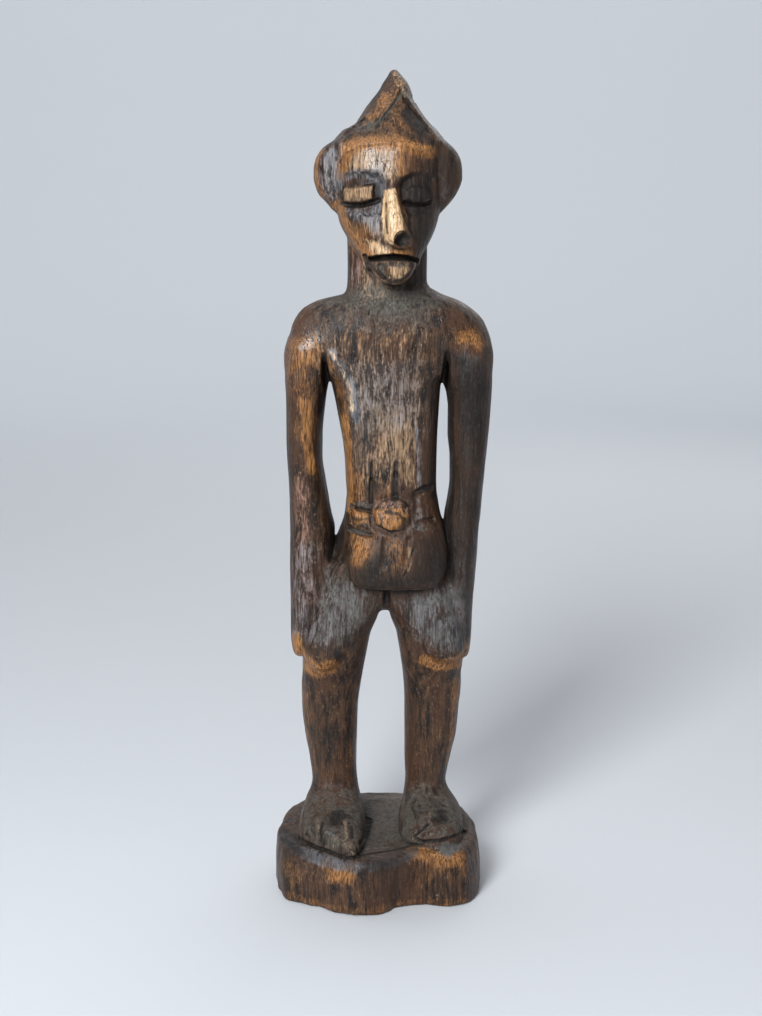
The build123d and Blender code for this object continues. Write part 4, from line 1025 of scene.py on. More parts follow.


# channel, strength, softness, kind (A area, L line), outline; for a line the softness is its half width
# rows of the pale, blue-grey and dark channels paint highlights, sheen and shade in places, as noted at each
PAINT = [
    # hair and crest
    (ORANGE, 0.45, 8, "A", [(390, 92), (398, 92), (408, 108), (428, 134), (404, 134), (376, 130), (384, 116)]),
    (ORANGE, 0.55, 4, "L", [(385, 96), (378, 110), (366, 122)]),
    (TAN, 0.55, 4, "L", [(396, 76), (402, 86), (405, 94)]),
    (DARK, 0.9, 5, "L", [(406, 114), (413, 122), (421, 130)]),
    (DARK, 0.7, 4, "L", [(388, 74), (380, 84), (370, 100)]),
    (DUST, 1.0, 2.4, "L", [(405, 91), (397, 99), (388, 112), (376, 125)]),
    (DUST, 0.8, 2.8, "L", [(356, 113), (364, 120), (372, 126)]),
    (DUST, 0.5, 4, "L", [(352, 122), (366, 130)]),
    (DARK, 0.55, 7, "A", [(346, 136), (372, 131), (430, 136), (432, 142), (380, 138), (350, 144)]),
    (BLUE, 0.35, 8, "A", [(330, 132), (352, 126), (348, 150), (336, 190), (328, 160)]),
    # forehead
    (TAN, 1.0, 8, "A", [(350, 148), (396, 146), (400, 166), (394, 180), (384, 176), (372, 170), (352, 172), (346, 164)]),
    # painted highlight: the pale and blue-grey patches stand for the forehead's gloss lit by the key light, over tan
    # worn wood
    (BRIGHT, 0.22, 7, "A", [(362, 151), (392, 149), (394, 174), (386, 176), (366, 170)]),
    (BLUE, 0.55, 4, "A", [(366, 153), (385, 152), (387, 176), (372, 172)]),
    (GLOSS, 1.0, 10, "A", [(352, 150), (396, 148), (398, 176), (360, 176)]),
    (ORANGE, 0.9, 6.5, "L", [(347, 150), (356, 145), (372, 143), (398, 143)]),
    (ORANGE, 0.8, 5.5, "L", [(398, 145), (414, 148), (430, 152)]),
    (ORANGE, 0.9, 4, "L", [(397, 148), (399, 162), (401, 172)]),
    (ORANGE, 0.8, 5, "L", [(347, 154), (343, 164), (341, 176)]),
    (ORANGE, 0.3, 8, "A", [(402, 152), (432, 154), (430, 166), (404, 170)]),
    # eyes
    (BLUE, 0.65, 4, "L", [(339, 186), (344, 177), (356, 173), (372, 174), (381, 180), (384, 190)]),
    (TAN, 1.0, 3, "A", [(343, 188), (373, 186), (371, 198), (360, 199), (344, 200)]),
    (PINK, 0.75, 4, "A", [(344, 189), (368, 188), (368, 198), (345, 199)]),
    # painted shade in the eye slit
    (DARK, 1.0, 2.6, "L", [(342, 203), (352, 207), (364, 204), (378, 200)]),
    (DARK, 0.8, 3.5, "L", [(376, 186), (378, 196), (374, 202)]),
    (BLUE, 0.7, 7, "A", [(341, 208), (378, 204), (382, 222), (376, 230), (350, 224)]),
    (TAN, 0.25, 7, "A", [(350, 206), (380, 206), (382, 230), (358, 232)]),
    # painted shade: socket and cheek on the side away from the key light, over dark wood; the blue-grey on the lid is a
    # painted glint
    (DARK, 0.85, 7, "A", [(398, 184), (408, 172), (430, 174), (436, 196), (428, 212), (412, 214), (404, 208)]),
    (BLUE, 0.45, 6, "A", [(410, 186), (430, 184), (430, 200), (412, 204)]),
    (DARK, 0.8, 10, "A", [(408, 205), (436, 205), (430, 236), (418, 250), (410, 232)]),
    (BLUE, 0.2, 10, "A", [(410, 212), (432, 212), (424, 236)]),
    # cheek, jaw, nose, mouth
    (ORANGE, 0.95, 5, "L", [(338, 206), (341, 220), (350, 236), (362, 250), (368, 257)]),
    (ORANGE, 0.55, 7, "A", [(346, 222), (364, 220), (378, 232), (372, 246), (358, 242)]),
    (TAN, 0.6, 7, "A", [(362, 226), (382, 224), (390, 240), (376, 248)]),
    (BLUE, 0.5, 6, "L", [(376, 176), (381, 192), (379, 214), (378, 232)]),
    # pale worn facet of the nose, lit as a painted highlight on the side facing the key light
    (BRIGHT, 1.0, 2.5, "A", [(384, 190), (395, 188), (398, 200), (402, 216), (404, 231), (397, 236), (392, 247), (384, 240), (381, 216)]),
    (ORANGE, 0.6, 3, "L", [(398, 190), (402, 208), (405, 226)]),
    (GLOSS, 0.7, 5, "A", [(384, 190), (397, 190), (404, 230), (386, 240)]),
    (DARK, 0.75, 1.3, "L", [(386, 205), (386, 220), (387, 234)]),
    # painted shade in the hollow of the broken nostril
    (DARK, 0.9, 4, "A", [(398, 236), (404, 233), (409, 238), (407, 246), (400, 248), (396, 242)]),
    (BRIGHT, 0.8, 5, "A", [(364, 238), (380, 240), (390, 250), (394, 256), (374, 258)]),
    (PINK, 0.5, 6, "A", [(364, 238), (382, 242), (384, 256), (372, 257)]),
    (ORANGE, 0.9, 4, "A", [(388, 250), (402, 250), (413, 240), (418, 246), (417, 258), (394, 256)]),
    # painted shade in the open mouth line
    (DARK, 1.0, 2.0, "L", [(372, 260), (380, 259), (392, 258), (406, 259), (417, 262)]),
    (DUST, 0.8, 3, "A", [(374, 262), (414, 263), (412, 267), (384, 268), (386, 278), (378, 270)]),
    (BRIGHT, 0.35, 2.4, "A", [(389, 266), (404, 265), (409, 271), (404, 279), (391, 279), (387, 272)]),
    (TAN, 1.0, 3, "A", [(388, 266), (408, 265), (411, 271), (404, 280), (390, 280)]),
    # painted shadow under the jutting lower lip
    (DARK, 1.0, 2.0, "L", [(367, 257), (373, 268), (382, 277), (392, 282), (402, 280), (411, 272)]),
    (PINK, 0.9, 3, "L", [(362, 254), (372, 272), (384, 283), (396, 286)]),
    # ear lobes
    (BLUE, 0.8, 8, "A", [(318, 152), (336, 148), (338, 200), (326, 200), (318, 180)]),
    (TAN, 0.6, 8, "A", [(318, 160), (334, 156), (336, 200), (326, 200)]),
    (PINK, 0.45, 8, "A", [(314, 160), (326, 150), (334, 180), (324, 200)]),
    (ORANGE, 0.75, 3, "L", [(321, 150), (315, 164), (315, 180), (322, 198), (331, 211)]),
    (DARK, 0.7, 12, "A", [(432, 140), (462, 158), (460, 186), (440, 206), (434, 180)]),
    (ORANGE, 0.35, 3, "L", [(456, 154), (461, 172), (456, 192)]),
    (BLUE, 0.45, 3, "L", [(440, 176), (446, 186), (442, 200)]),
    (BLUE, 0.3, 3, "L", [(432, 150), (438, 170)]),
    # neck and collar
    (PINK, 0.7, 7, "A", [(350, 250), (362, 258), (366, 280), (352, 286)]),
    # painted shade: the blue-grey on the neck behind the jaw
    (BLUE, 0.5, 6, "A", [(352, 262), (364, 266), (362, 286), (350, 282)]),
    (TAN, 0.95, 9, "A", [(362, 266), (392, 287), (400, 300), (362, 302)]),
    (BRIGHT, 0.32, 8, "A", [(370, 272), (390, 286), (400, 296), (398, 304), (368, 304)]),
    (DUST, 0.5, 9, "A", [(364, 280), (404, 288), (406, 304), (362, 304)]),
    # painted shade under the jaw on the side away from the key light
    (DARK, 0.85, 9, "A", [(410, 244), (428, 236), (428, 286), (412, 284)]),
    (DUST, 0.9, 12, "A", [(352, 290), (380, 286), (424, 290), (446, 304), (400, 316), (350, 308), (318, 304)]),
    (DUST, 0.55, 14, "A", [(356, 296), (426, 296), (424, 326), (396, 330), (372, 322)]),
    (DUST, 0.35, 14, "A", [(300, 312), (340, 300), (350, 330), (310, 330)]),
    # shoulders and chest
    (ORANGE, 0.85, 8, "A", [(288, 340), (318, 334), (322, 350), (316, 366), (290, 372)]),
    (TAN, 0.6, 7, "A", [(300, 346), (320, 344), (318, 362), (304, 366)]),
    # painted highlight: a blue-grey glint on the shoulder
    (BLUE, 0.8, 3, "A", [(299, 345), (307, 346), (305, 352), (299, 350)]),
    (GLOSS, 0.8, 10, "A", [(286, 334), (322, 334), (320, 372), (286, 374)]),
    (TAN, 0.26, 12, "A", [(326, 320), (424, 318), (436, 338), (418, 348), (330, 348)]),
    (ORANGE, 0.34, 10, "A", [(326, 322), (380, 332), (410, 330), (416, 344), (340, 348)]),
    (ORANGE, 0.9, 5, "A", [(456, 332), (474, 328), (486, 344), (480, 352), (470, 344), (458, 344)]),
    (TAN, 0.5, 5, "A", [(458, 330), (476, 330), (482, 346)]),
    (BLUE, 0.6, 8, "A", [(452, 352), (482, 356), (486, 384), (460, 380)]),
    # dark wood with painted shade on the shoulder away from the key light
    (DARK, 0.95, 9, "A", [(448, 350), (486, 360), (488, 400), (456, 390)]),
    (DARK, 0.5, 6, "L", [(440, 340), (444, 360), (446, 384)]),
    # painted shade in the creases that run up from the arm openings
    (DARK, 0.95, 2.0, "L", [(324, 354), (326, 366), (325, 384)]),
    (DARK, 0.95, 2.0, "L", [(446, 353), (446, 368), (446, 386)]),
    # torso
    (TAN, 0.46, 14, "A", [(334, 352), (420, 346), (428, 380), (424, 486), (350, 490), (352, 420)]),
    # painted sheen: blue-grey streaks on the chest front stand for reflected cool light
    (BLUE, 0.52, 12, "A", [(346, 362), (420, 356), (424, 430), (360, 440)]),
    (ORANGE, 0.6, 7, "A", [(326, 358), (336, 366), (347, 390), (348, 450), (342, 440), (338, 400)]),
    (ORANGE, 0.95, 4, "L", [(344, 420), (347, 450), (349, 490), (349, 508)]),
    # painted highlight along the chest's ridge, pale and blue-grey
    (BRIGHT, 0.5, 2.4, "L", [(330, 352), (340, 366), (350, 388), (352, 410)]),
    (BLUE, 0.9, 3.2, "L", [(331, 352), (342, 367), (353, 390), (356, 420)]),
    (GLOSS, 0.8, 14, "A", [(334, 352), (420, 350), (424, 480), (352, 480)]),
    # dark wood with painted shade on the torso's side next to the arm, away from the key light
    (DARK, 0.75, 7, "A", [(424, 380), (440, 370), (440, 500), (430, 505), (422, 490), (428, 430)]),
    # painted highlight: a blue-grey streak
    (BLUE, 0.7, 2.6, "L", [(418, 430), (419, 460), (419, 488)]),
    (TAN, 0.45, 8, "A", [(376, 410), (412, 412), (414, 486), (384, 470)]),
    (DARK, 0.45, 8, "A", [(352, 430), (372, 420), (376, 452), (356, 462)]),
    (DARK, 0.45, 9, "A", [(382, 350), (416, 352), (412, 384), (392, 388)]),
    (DARK, 0.85, 2.4, "L", [(370, 464), (371, 480), (371, 502)]),
    (DARK, 0.8, 3.2, "L", [(396, 466), (395, 480), (395, 498)]),
    (ORANGE, 0.5, 5, "A", [(350, 470), (366, 470), (368, 500), (352, 504)]),
    (ORANGE, 0.45, 5, "A", [(378, 476), (392, 476), (392, 500), (380, 500)]),
    # belly
    (ORANGE, 1.0, 3, "A", [(371, 510), (402, 508), (408, 516), (396, 530), (378, 528)]),
    (BRIGHT, 0.2, 3, "A", [(374, 512), (398, 510), (394, 526), (378, 525)]),
    (PINK, 0.6, 3, "A", [(376, 500), (400, 500), (408, 512), (396, 508), (372, 508)]),
    (ORANGE, 1.0, 3, "A", [(351, 510), (369, 511), (368, 523), (352, 524)]),
    (BRIGHT, 0.35, 2.5, "A", [(353, 512), (366, 513), (365, 519), (354, 520)]),
    (DUST, 0.75, 2.6, "L", [(350, 505), (362, 504), (370, 507)]),
    (DUST, 0.75, 2.6, "L", [(349, 530), (360, 532), (368, 533)]),
    (DARK, 0.3, 2.6, "L", [(372, 507), (368, 516), (372, 526), (384, 532), (398, 530), (408, 518), (402, 505)]),
    (ORANGE, 0.8, 6, "A", [(350, 534), (372, 536), (370, 562), (352, 568)]),
    (ORANGE, 0.5, 6, "A", [(384, 538), (404, 540), (408, 566), (392, 572)]),
    (DARK, 0.8, 5, "A", [(380, 538), (386, 540), (386, 562), (368, 576), (364, 560), (378, 552)]),
    # painted shadow under the belly's lower edge
    (DARK, 0.95, 10, "A", [(350, 566), (380, 578), (430, 572), (440, 562), (436, 584), (396, 592), (362, 588)]),
    (DARK, 0.7, 9, "A", [(408, 536), (440, 530), (446, 570), (412, 580)]),
    (TAN, 0.6, 2.5, "L", [(409, 548), (410, 560), (408, 570)]),
    (DUST, 0.8, 2.2, "L", [(417, 527), (424, 530)]),
    (DUST, 0.6, 2.2, "L", [(414, 492), (424, 490)]),
    (BLUE, 0.4, 8, "A", [(406, 500), (434, 500), (440, 540), (410, 536)]),
    (DARK, 0.8, 1.6, "L", [(379, 514), (382, 522), (380, 527)]),
    (DARK, 0.7, 1.6, "L", [(390, 510), (392, 520)]),
    (DARK, 0.9, 2.2, "L", [(386, 512), (398, 514), (404, 519)]),
    (DARK, 0.7, 2.0, "L", [(352, 518), (360, 520), (367, 519)]),
    # arms
    (ORANGE, 0.4, 9, "A", [(284, 372), (318, 368), (318, 440), (288, 440)]),
    (ORANGE, 0.85, 4, "L", [(306, 404), (308, 420), (307, 440), (312, 470)]),
    (DARK, 0.45, 7, "L", [(287, 400), (288, 470), (290, 540)]),
    (PINK, 0.5, 7, "L", [(300, 480), (302, 540), (308, 600)]),
    (BLUE, 0.55, 8, "A", [(292, 540), (318, 540), (312, 640), (292, 640)]),
    (ORANGE, 1.0, 4, "L", [(296, 636), (298, 648), (302, 656)]),
    # dark wood with painted shade on the arm away from the key light
    (DARK, 0.85, 10, "A", [(450, 384), (490, 384), (486, 470), (456, 470)]),
    (DARK, 0.7, 9, "A", [(452, 470), (486, 470), (474, 650), (458, 640), (446, 540)]),
    (BLUE, 0.55, 8, "A", [(452, 560), (476, 540), (472, 650), (458, 640)]),
    (BLUE, 0.45, 4, "L", [(482, 470), (478, 530), (474, 580)]),
    (ORANGE, 0.3, 4, "L", [(491, 360), (489, 440)]),
    (ORANGE, 0.7, 3, "L", [(460, 656), (466, 652), (469, 640)]),
    # hips and thighs
    (DUST, 0.60, 10, "A", [(326, 572), (346, 568), (362, 590), (386, 598), (382, 612), (352, 640), (330, 650), (314, 640)]),
    # blue-grey on the hips and thighs: grey wood with a painted sheen
    (BLUE, 0.55, 10, "A", [(326, 572), (352, 580), (384, 602), (352, 640), (320, 652), (308, 640)]),
    (DUST, 0.50, 10, "A", [(398, 600), (440, 586), (458, 560), (464, 650), (444, 654), (420, 640), (400, 612)]),
    (BLUE, 0.70, 10, "A", [(400, 602), (446, 580), (466, 600), (466, 652), (444, 654), (420, 640)]),
    (GLOSS, 0.5, 14, "A", [(310, 590), (380, 600), (350, 650), (310, 650)]),
    (GLOSS, 0.5, 14, "A", [(400, 602), (460, 590), (466, 650), (420, 640)]),
    (ORANGE, 0.9, 6.0, "L", [(307, 664), (318, 671), (331, 667)]),
    (ORANGE, 0.2, 5, "L", [(334, 662), (344, 652), (354, 636)]),
    (ORANGE, 0.9, 4.5, "L", [(424, 660), (436, 665), (448, 665), (460, 662)]),
    # painted shade in the cleft between the thighs
    (DARK, 0.6, 3, "L", [(384, 600), (388, 608)]),
    # shins
    (ORANGE, 0.4, 5, "L", [(304, 686), (305, 730), (311, 770)]),
    (ORANGE, 0.6, 4, "L", [(456, 680), (455, 720), (450, 764)]),
    (ORANGE, 0.4, 4, "L", [(358, 690), (354, 730), (352, 764)]),
    (TAN, 0.12, 10, "A", [(312, 690), (350, 690), (346, 775), (314, 770)]),
    (TAN, 0.12, 10, "A", [(412, 680), (450, 680), (446, 775), (412, 775)]),
    (DARK, 0.4, 8, "A", [(312, 720), (340, 715), (338, 770), (316, 766)]),
    (DARK, 0.5, 8, "A", [(404, 700), (420, 690), (416, 770), (404, 770)]),
    # feet and the top of the pedestal
    (DUST, 0.66, 8, "A", [(300, 800), (318, 784), (346, 784), (362, 790), (402, 788), (440, 784), (462, 800), (474, 836), (440, 840), (400, 846), (360, 858), (330, 852), (300, 836)]),
    (TAN, 0.35, 7, "A", [(318, 838), (352, 842), (354, 856), (330, 850)]),
    (TAN, 0.3, 8, "A", [(406, 806), (426, 806), (430, 830), (412, 838)]),
    # painted shade in the pits of the foot
    (DARK, 0.9, 3, "A", [(328, 824), (333, 812), (338, 806), (346, 812), (342, 824), (340, 830)]),
    (BLUE, 1.0, 2.6, "L", [(328, 831), (334, 834)]),
    (DARK, 0.7, 1.5, "L", [(352, 826), (352, 838)]),
    (DARK, 0.7, 1.3, "L", [(323, 822), (321, 832), (321, 840)]),
    # painted shade in the pits of the foot
    (DARK, 0.9, 3, "A", [(434, 820), (440, 808), (446, 810), (450, 819), (438, 823)]),
    # painted shade along the crease where the foot meets the pedestal
    (DARK, 0.9, 1.5, "L", [(416, 838), (424, 842), (440, 841), (452, 837), (465, 831)]),
    (DARK, 0.7, 1.4, "L", [(415, 836), (422, 830), (428, 824)]),
    # painted shade along the crease where the feet meet the pedestal
    (DARK, 0.8, 1.2, "L", [(302, 839), (315, 847), (325, 850), (340, 856), (352, 859), (362, 856), (375, 853), (390, 851), (402, 848), (410, 846)]),
    (DARK, 0.55, 4, "L", [(363, 794), (366, 808), (369, 826), (362, 842)]),
    (TAN, 0.5, 2.0, "L", [(345, 822), (347, 838)]),
    (TAN, 0.4, 2.0, "L", [(318, 820), (318, 834)]),
    (DARK, 0.4, 9, "A", [(404, 800), (428, 800), (430, 830), (410, 836)]),
    (DARK, 0.35, 9, "A", [(306, 806), (326, 804), (322, 836), (308, 834)]),
    # pedestal wall
    (BLUE, 0.9, 5, "A", [(304, 848), (326, 856), (346, 864), (358, 862), (358, 872), (330, 868), (304, 858)]),
    (DARK, 0.6, 8, "A", [(280, 820), (300, 840), (304, 858), (284, 862)]),
    (DARK, 0.5, 6, "A", [(362, 862), (400, 856), (400, 868), (366, 874)]),
    (DUST, 1.0, 2.6, "A", [(436, 847), (446, 842), (461, 843), (459, 851), (448, 857), (440, 853)]),
    (BLUE, 1.0, 3.0, "A", [(436, 847), (446, 842), (461, 843), (459, 851), (448, 857), (440, 853)]),
    (ORANGE, 1.0, 5, "A", [(344, 866), (356, 860), (358, 870), (352, 884), (332, 884), (336, 872)]),
    (ORANGE, 0.8, 5, "L", [(326, 864), (334, 868), (332, 876)]),
    (ORANGE, 0.7, 6, "L", [(412, 852), (430, 856), (446, 862), (458, 858)]),
    (ORANGE, 0.30, 8, "A", [(412, 852), (476, 850), (476, 886), (440, 880), (420, 890)]),
    (BLUE, 0.6, 5, "L", [(284, 838), (300, 850), (330, 863), (358, 869), (400, 861), (412, 853)]),
    (DARK, 0.5, 6, "L", [(284, 836), (300, 848), (330, 861), (358, 867), (400, 859), (412, 851)]),
    (ORANGE, 0.4, 4, "L", [(286, 894), (310, 903), (336, 911), (366, 913), (396, 906), (430, 903), (466, 902)]),
    (ORANGE, 0.35, 6, "L", [(290, 866), (294, 880)]),
    (DARK, 0.4, 8, "A", [(380, 870), (410, 868), (412, 900), (384, 904)]),
    (TAN, 0.08, 14, "A", [(286, 862), (470, 862), (470, 900), (286, 900)]),
]

LOW = Noise(77)


def patina(P, N):
    """Eight values for every point of the surface, from its place, its facing and the form around it: worn wood, dust
    and gloss, with painted highlights, sheen and shade.
    """
    x, y, z = (P[:, i].astype(F4) for i in range(3))
    u, v = sheet(x, y, z)
    front = sstep(-0.05, 0.35, -0.978 * N[:, 1] + 0.208 * N[:, 2]) * sstep(9.0, 2.0, y + 0 * z)
    front = np.where(z < 18, sstep(-0.05, 0.3, -0.978 * N[:, 1] + 0.208 * N[:, 2]), front)
    M = np.zeros((len(x), 8), F4)
    for ch, amp, soft, kind, pts in PAINT:
        a = np.array(pts, float)
        soft = soft * (2.3 if kind == "A" else 1.6) if soft > 2.6 else soft * 1.15
        pad = soft * 1.3 + 2
        i = np.flatnonzero((u > a[:, 0].min() - pad) & (u < a[:, 0].max() + pad) & (v > a[:, 1].min() - pad) & (v < a[:, 1].max() + pad) & (front > 0.01))
        if not i.size:
            continue
        if kind == "A":
            w = sstep(soft * 0.6, -soft * 0.6, poly_dist(u[i], v[i], pts))
        else:
            w = sstep(soft * 1.25, soft * 0.35, line_dist(u[i], v[i], pts))
        w = (amp * w * front[i]).astype(F4)
        M[i, ch] = M[i, ch] + w - M[i, ch] * w
    # sides and back, away from the camera
    back = 1.0 - front
    low = LOW(x * 0.07 + 3, y * 0.07, z * 0.035)
    low2 = LOW(x * 0.11 + 30, y * 0.11, z * 0.05)
    M[:, TAN] += back * (0.28 + 0.35 * low)
    M[:, ORANGE] += back * (0.22 + 0.40 * low2)
    # blue-grey on the sides and back: grey wood with a painted sheen
    M[:, BLUE] += back * (0.20 + 0.30 * LOW(x * 0.06, y * 0.06 + 9, z * 0.03))
    M[:, DUST] += back * 0.55 * sstep(0.45, 0.85, N[:, 2])
    M[:, GLOSS] += back * (0.25 + 0.4 * low2)
    # form: the reach of open space, and edges; where open space is short the surface takes painted shade
    free = np.zeros(len(x), F4)
    for h, wt in ((1.6, 0.4), (4.0, 0.35), (8.0, 0.25)):
        q = P + N * h
        free += wt * np.clip(field(q[:, 0], q[:, 1], q[:, 2], noise=False) / h, 0, 1)
    e = 0.9
    lap = np.zeros(len(x), F4)
    for ax in range(3):
        for s in (-e, e):
            q = P.copy(); q[:, ax] += s
            lap += field(q[:, 0], q[:, 1], q[:, 2], noise=False)
    lap = lap / 6.0 - field(x, y, z, noise=False)
    edge = sstep(0.09, 0.26, lap)
    hollow = sstep(-0.05, -0.22, lap)
    M[:, ORANGE] += 0.30 * edge * (1 - M[:, DUST] * 0.6)
    M[:, TAN] += 0.25 * edge
    occ = sstep(0.78, 0.35, free)
    M[:, DUST] += 0.25 * sstep(0.9, 0.6, free) * (1 - occ)
    # painted shade: occluded places are darkened, on top of the dark hollows
    M[:, DARK] += 0.38 * hollow + 0.8 * occ
    M[:, GLOSS] *= 1 - occ
    return np.clip(M, 0, 1)


# ================================================================ wood
def wood_material(name, tint):
    m = bpy.data.materials.new(name)
    m.use_nodes = True
    nt = m.node_tree
    nt.nodes.clear()

    def node(kind, **kw):
        n = nt.nodes.new(kind)
        for k, val in kw.items():
            setattr(n, k, val)
        return n

    def link(a, b):
        nt.links.new(a, b)

    def put(sock, val):
        if isinstance(val, (int, float)):
            sock.default_value = val
        elif isinstance(val, (tuple, list)):
            sock.default_value = val
        else:
            link(val, sock)

    def mth(op, a, b=None, c=None, clamp=False):
        n = node("ShaderNodeMath", operation=op, use_clamp=clamp)
        put(n.inputs[0], a)
        if b is not None:
            put(n.inputs[1], b)
        if c is not None:
            put(n.inputs[2], c)
        return n.outputs[0]

    def remap(val, a, b, lo=0.0, hi=1.0):
        n = node("ShaderNodeMapRange", interpolation_type="SMOOTHSTEP")
        put(n.inputs["Value"], val)
        n.inputs["From Min"].default_value, n.inputs["From Max"].default_value = a, b
        n.inputs["To Min"].default_value, n.inputs["To Max"].default_value = lo, hi
        return n.outputs["Result"]

    def mixc(fac, a, b):
        n = node("ShaderNodeMix", data_type="RGBA", blend_type="MIX")
        put(n.inputs[0], fac)
        for s, val in ((6, a), (7, b)):
            put(n.inputs[s], (*val, 1.0) if isinstance(val, tuple) and len(val) == 3 else val)
        return n.outputs[2]

    co = node("ShaderNodeTexCoord").outputs["Object"]

    def noise(sx, sy, sz, detail, rough=0.55, off=(0, 0, 0), warp=None):
        mp = node("ShaderNodeMapping")
        mp.inputs["Scale"].default_value = (sx * 1000, sy * 1000, sz * 1000)
        mp.inputs["Location"].default_value = off
        link(warp if warp is not None else co, mp.inputs["Vector"])
        n = node("ShaderNodeTexNoise", noise_dimensions="3D")
        n.inputs["Scale"].default_value = 1.0
        n.inputs["Detail"].default_value = detail
        n.inputs["Roughness"].default_value = rough
        link(mp.outputs[0], n.inputs["Vector"])
        return n.outputs["Fac"]

    # gently wandering grain: the coordinates are pushed sideways by a slow noise
    wn = node("ShaderNodeTexNoise", noise_dimensions="3D")
    wn.inputs["Scale"].default_value = 45.0
    wn.inputs["Detail"].default_value = 2.0
    link(co, wn.inputs["Vector"])
    sub = node("ShaderNodeVectorMath", operation="SUBTRACT"); link(wn.outputs["Color"], sub.inputs[0]); sub.inputs[1].default_value = (0.5, 0.5, 0.5)
    scl = node("ShaderNodeVectorMath", operation="MULTIPLY"); link(sub.outputs[0], scl.inputs[0]); scl.inputs[1].default_value = (0.004, 0.004, 0.0)
    add = node("ShaderNodeVectorMath", operation="ADD"); link(co, add.inputs[0]); link(scl.outputs[0], add.inputs[1])
    gco = add.outputs[0]

    streak = noise(0.85, 0.85, 0.075, 5.0, 0.62, (3, 1, 7), gco)
    fibre = noise(2.6, 2.6, 0.26, 3.0, 0.6, (11, 4, 2), gco)
    mottle = noise(0.42, 0.42, 0.20, 5.0, 0.62, (5, 8, 1))
    speck = noise(1.7, 1.7, 0.95, 3.0, 0.6, (2, 2, 9))
    broad = noise(0.10, 0.10, 0.045, 2.0, 0.5, (1, 5, 3))
    cracks = noise(1.15, 1.15, 0.045, 2.0, 0.4, (21, 14, 5), gco)

    a = node("ShaderNodeAttribute", attribute_name="wear_a", attribute_type="GEOMETRY")
    b = node("ShaderNodeAttribute", attribute_name="wear_b", attribute_type="GEOMETRY")
    sa = node("ShaderNodeSeparateColor"); link(a.outputs["Color"], sa.inputs[0])
    sb = node("ShaderNodeSeparateColor"); link(b.outputs["Color"], sb.inputs[0])
    tan, orange, bright, pink = sa.outputs[0], sa.outputs[1], sa.outputs[2], a.outputs["Alpha"]
    dust, dark, blue, gloss = sb.outputs[0], sb.outputs[1], sb.outputs[2], b.outputs["Alpha"]

    # one break-up signal for long streaks, one for rubbed spots
    s1 = mth("ADD", mth("MULTIPLY", mth("SUBTRACT", streak, 0.5), 1.7), mth("MULTIPLY", mth("SUBTRACT", fibre, 0.5), 1.5))
    s2 = mth("ADD", mth("MULTIPLY", mth("SUBTRACT", mottle, 0.5), 1.9), mth("MULTIPLY", mth("SUBTRACT", speck, 0.5), 1.3))
    s3 = mth("ADD", mth("MULTIPLY", mth("SUBTRACT", mottle, 0.5), 2.2), mth("MULTIPLY", mth("SUBTRACT", streak, 0.5), 1.2))
    both = mth("ADD", mth("MULTIPLY", s1, 0.6), mth("MULTIPLY", s2, 0.6))

    def chip(mask, brk, lo=0.26, hi=0.92):
        # the break-up only bites where there is some mask
        return mth("MULTIPLY", remap(mth("ADD", mask, brk), lo, hi), remap(mask, 0.02, 0.18))

    t = tint
    base = mixc(remap(mth("ADD", mth("MULTIPLY", streak, 0.55), mth("MULTIPLY", mottle, 0.45)), 0.40, 0.61),
                (0.0088 * t, 0.0060 * t, 0.0048 * t), (0.084 * t, 0.0415 * t, 0.0215 * t))
    base = mixc(mth("MULTIPLY", remap(broad, 0.42, 0.68), 0.55), base, (0.078 * t, 0.032 * t, 0.015 * t))
    base = mixc(mth("MULTIPLY", remap(speck, 0.575, 0.70), 0.55), base, (0.16, 0.100, 0.064))
    c = mixc(mth("MULTIPLY", chip(pink, both), 0.8), base, mixc(fibre, (0.13, 0.055, 0.038), (0.40, 0.23, 0.165)))
    c = mixc(mth("MULTIPLY", chip(tan, both), 0.92), c, mixc(remap(fibre, 0.35, 0.65), (0.175, 0.098, 0.050), (0.37, 0.240, 0.138)))
    c = mixc(mth("MULTIPLY", chip(orange, mth("MULTIPLY", both, 0.62), 0.14, 1.0), 0.92), c, mixc(remap(fibre, 0.32, 0.68), (0.145, 0.058, 0.016), (0.36, 0.165, 0.055)))
    # blue-grey: partly grey wood, mostly a painted sheen of the cool light
    c = mixc(mth("MULTIPLY", chip(blue, mth("MULTIPLY", both, 1.15), 0.28, 0.95), 0.75), c, mixc(remap(streak, 0.35, 0.65), (0.045, 0.049, 0.057), (0.195, 0.198, 0.215)))
    # pale tan: worn wood, and in places a painted highlight
    c = mixc(mth("MULTIPLY", chip(bright, mth("MULTIPLY", both, 0.7)), 0.95), c, mixc(remap(fibre, 0.30, 0.66), (0.43, 0.255, 0.120), (0.69, 0.465, 0.265)))
    c = mixc(mth("MULTIPLY", chip(dust, s3, 0.18, 1.10), 0.85), c, mixc(remap(speck, 0.35, 0.65), (0.066, 0.063, 0.053), (0.095, 0.091, 0.078)))
    # near black: dark wood, and in places painted shade, occluded corners included
    c = mixc(mth("MULTIPLY", chip(dark, mth("MULTIPLY", both, 0.9), 0.25, 1.0), 0.92), c, mixc(remap(mth("ADD", mth("MULTIPLY", speck, 0.5), mth("MULTIPLY", streak, 0.5)), 0.46, 0.62), (0.0060, 0.0050, 0.0045), (0.025, 0.0195, 0.0160)))
    # the grain darkens and lightens everything a little
    grain = mth("ADD", mth("MULTIPLY", fibre, 0.62), mth("MULTIPLY", speck, 0.38))
    c = mixc(remap(grain, 0.50, 0.34, 0.0, 0.62), c, (0.016, 0.011, 0.008))
    lift = node("ShaderNodeMix", data_type="RGBA", blend_type="ADD")
    put(lift.inputs[0], remap(grain, 0.53, 0.68, 0.0, 0.35)); link(c, lift.inputs[6]); link(c, lift.inputs[7])
    c = lift.outputs[2]
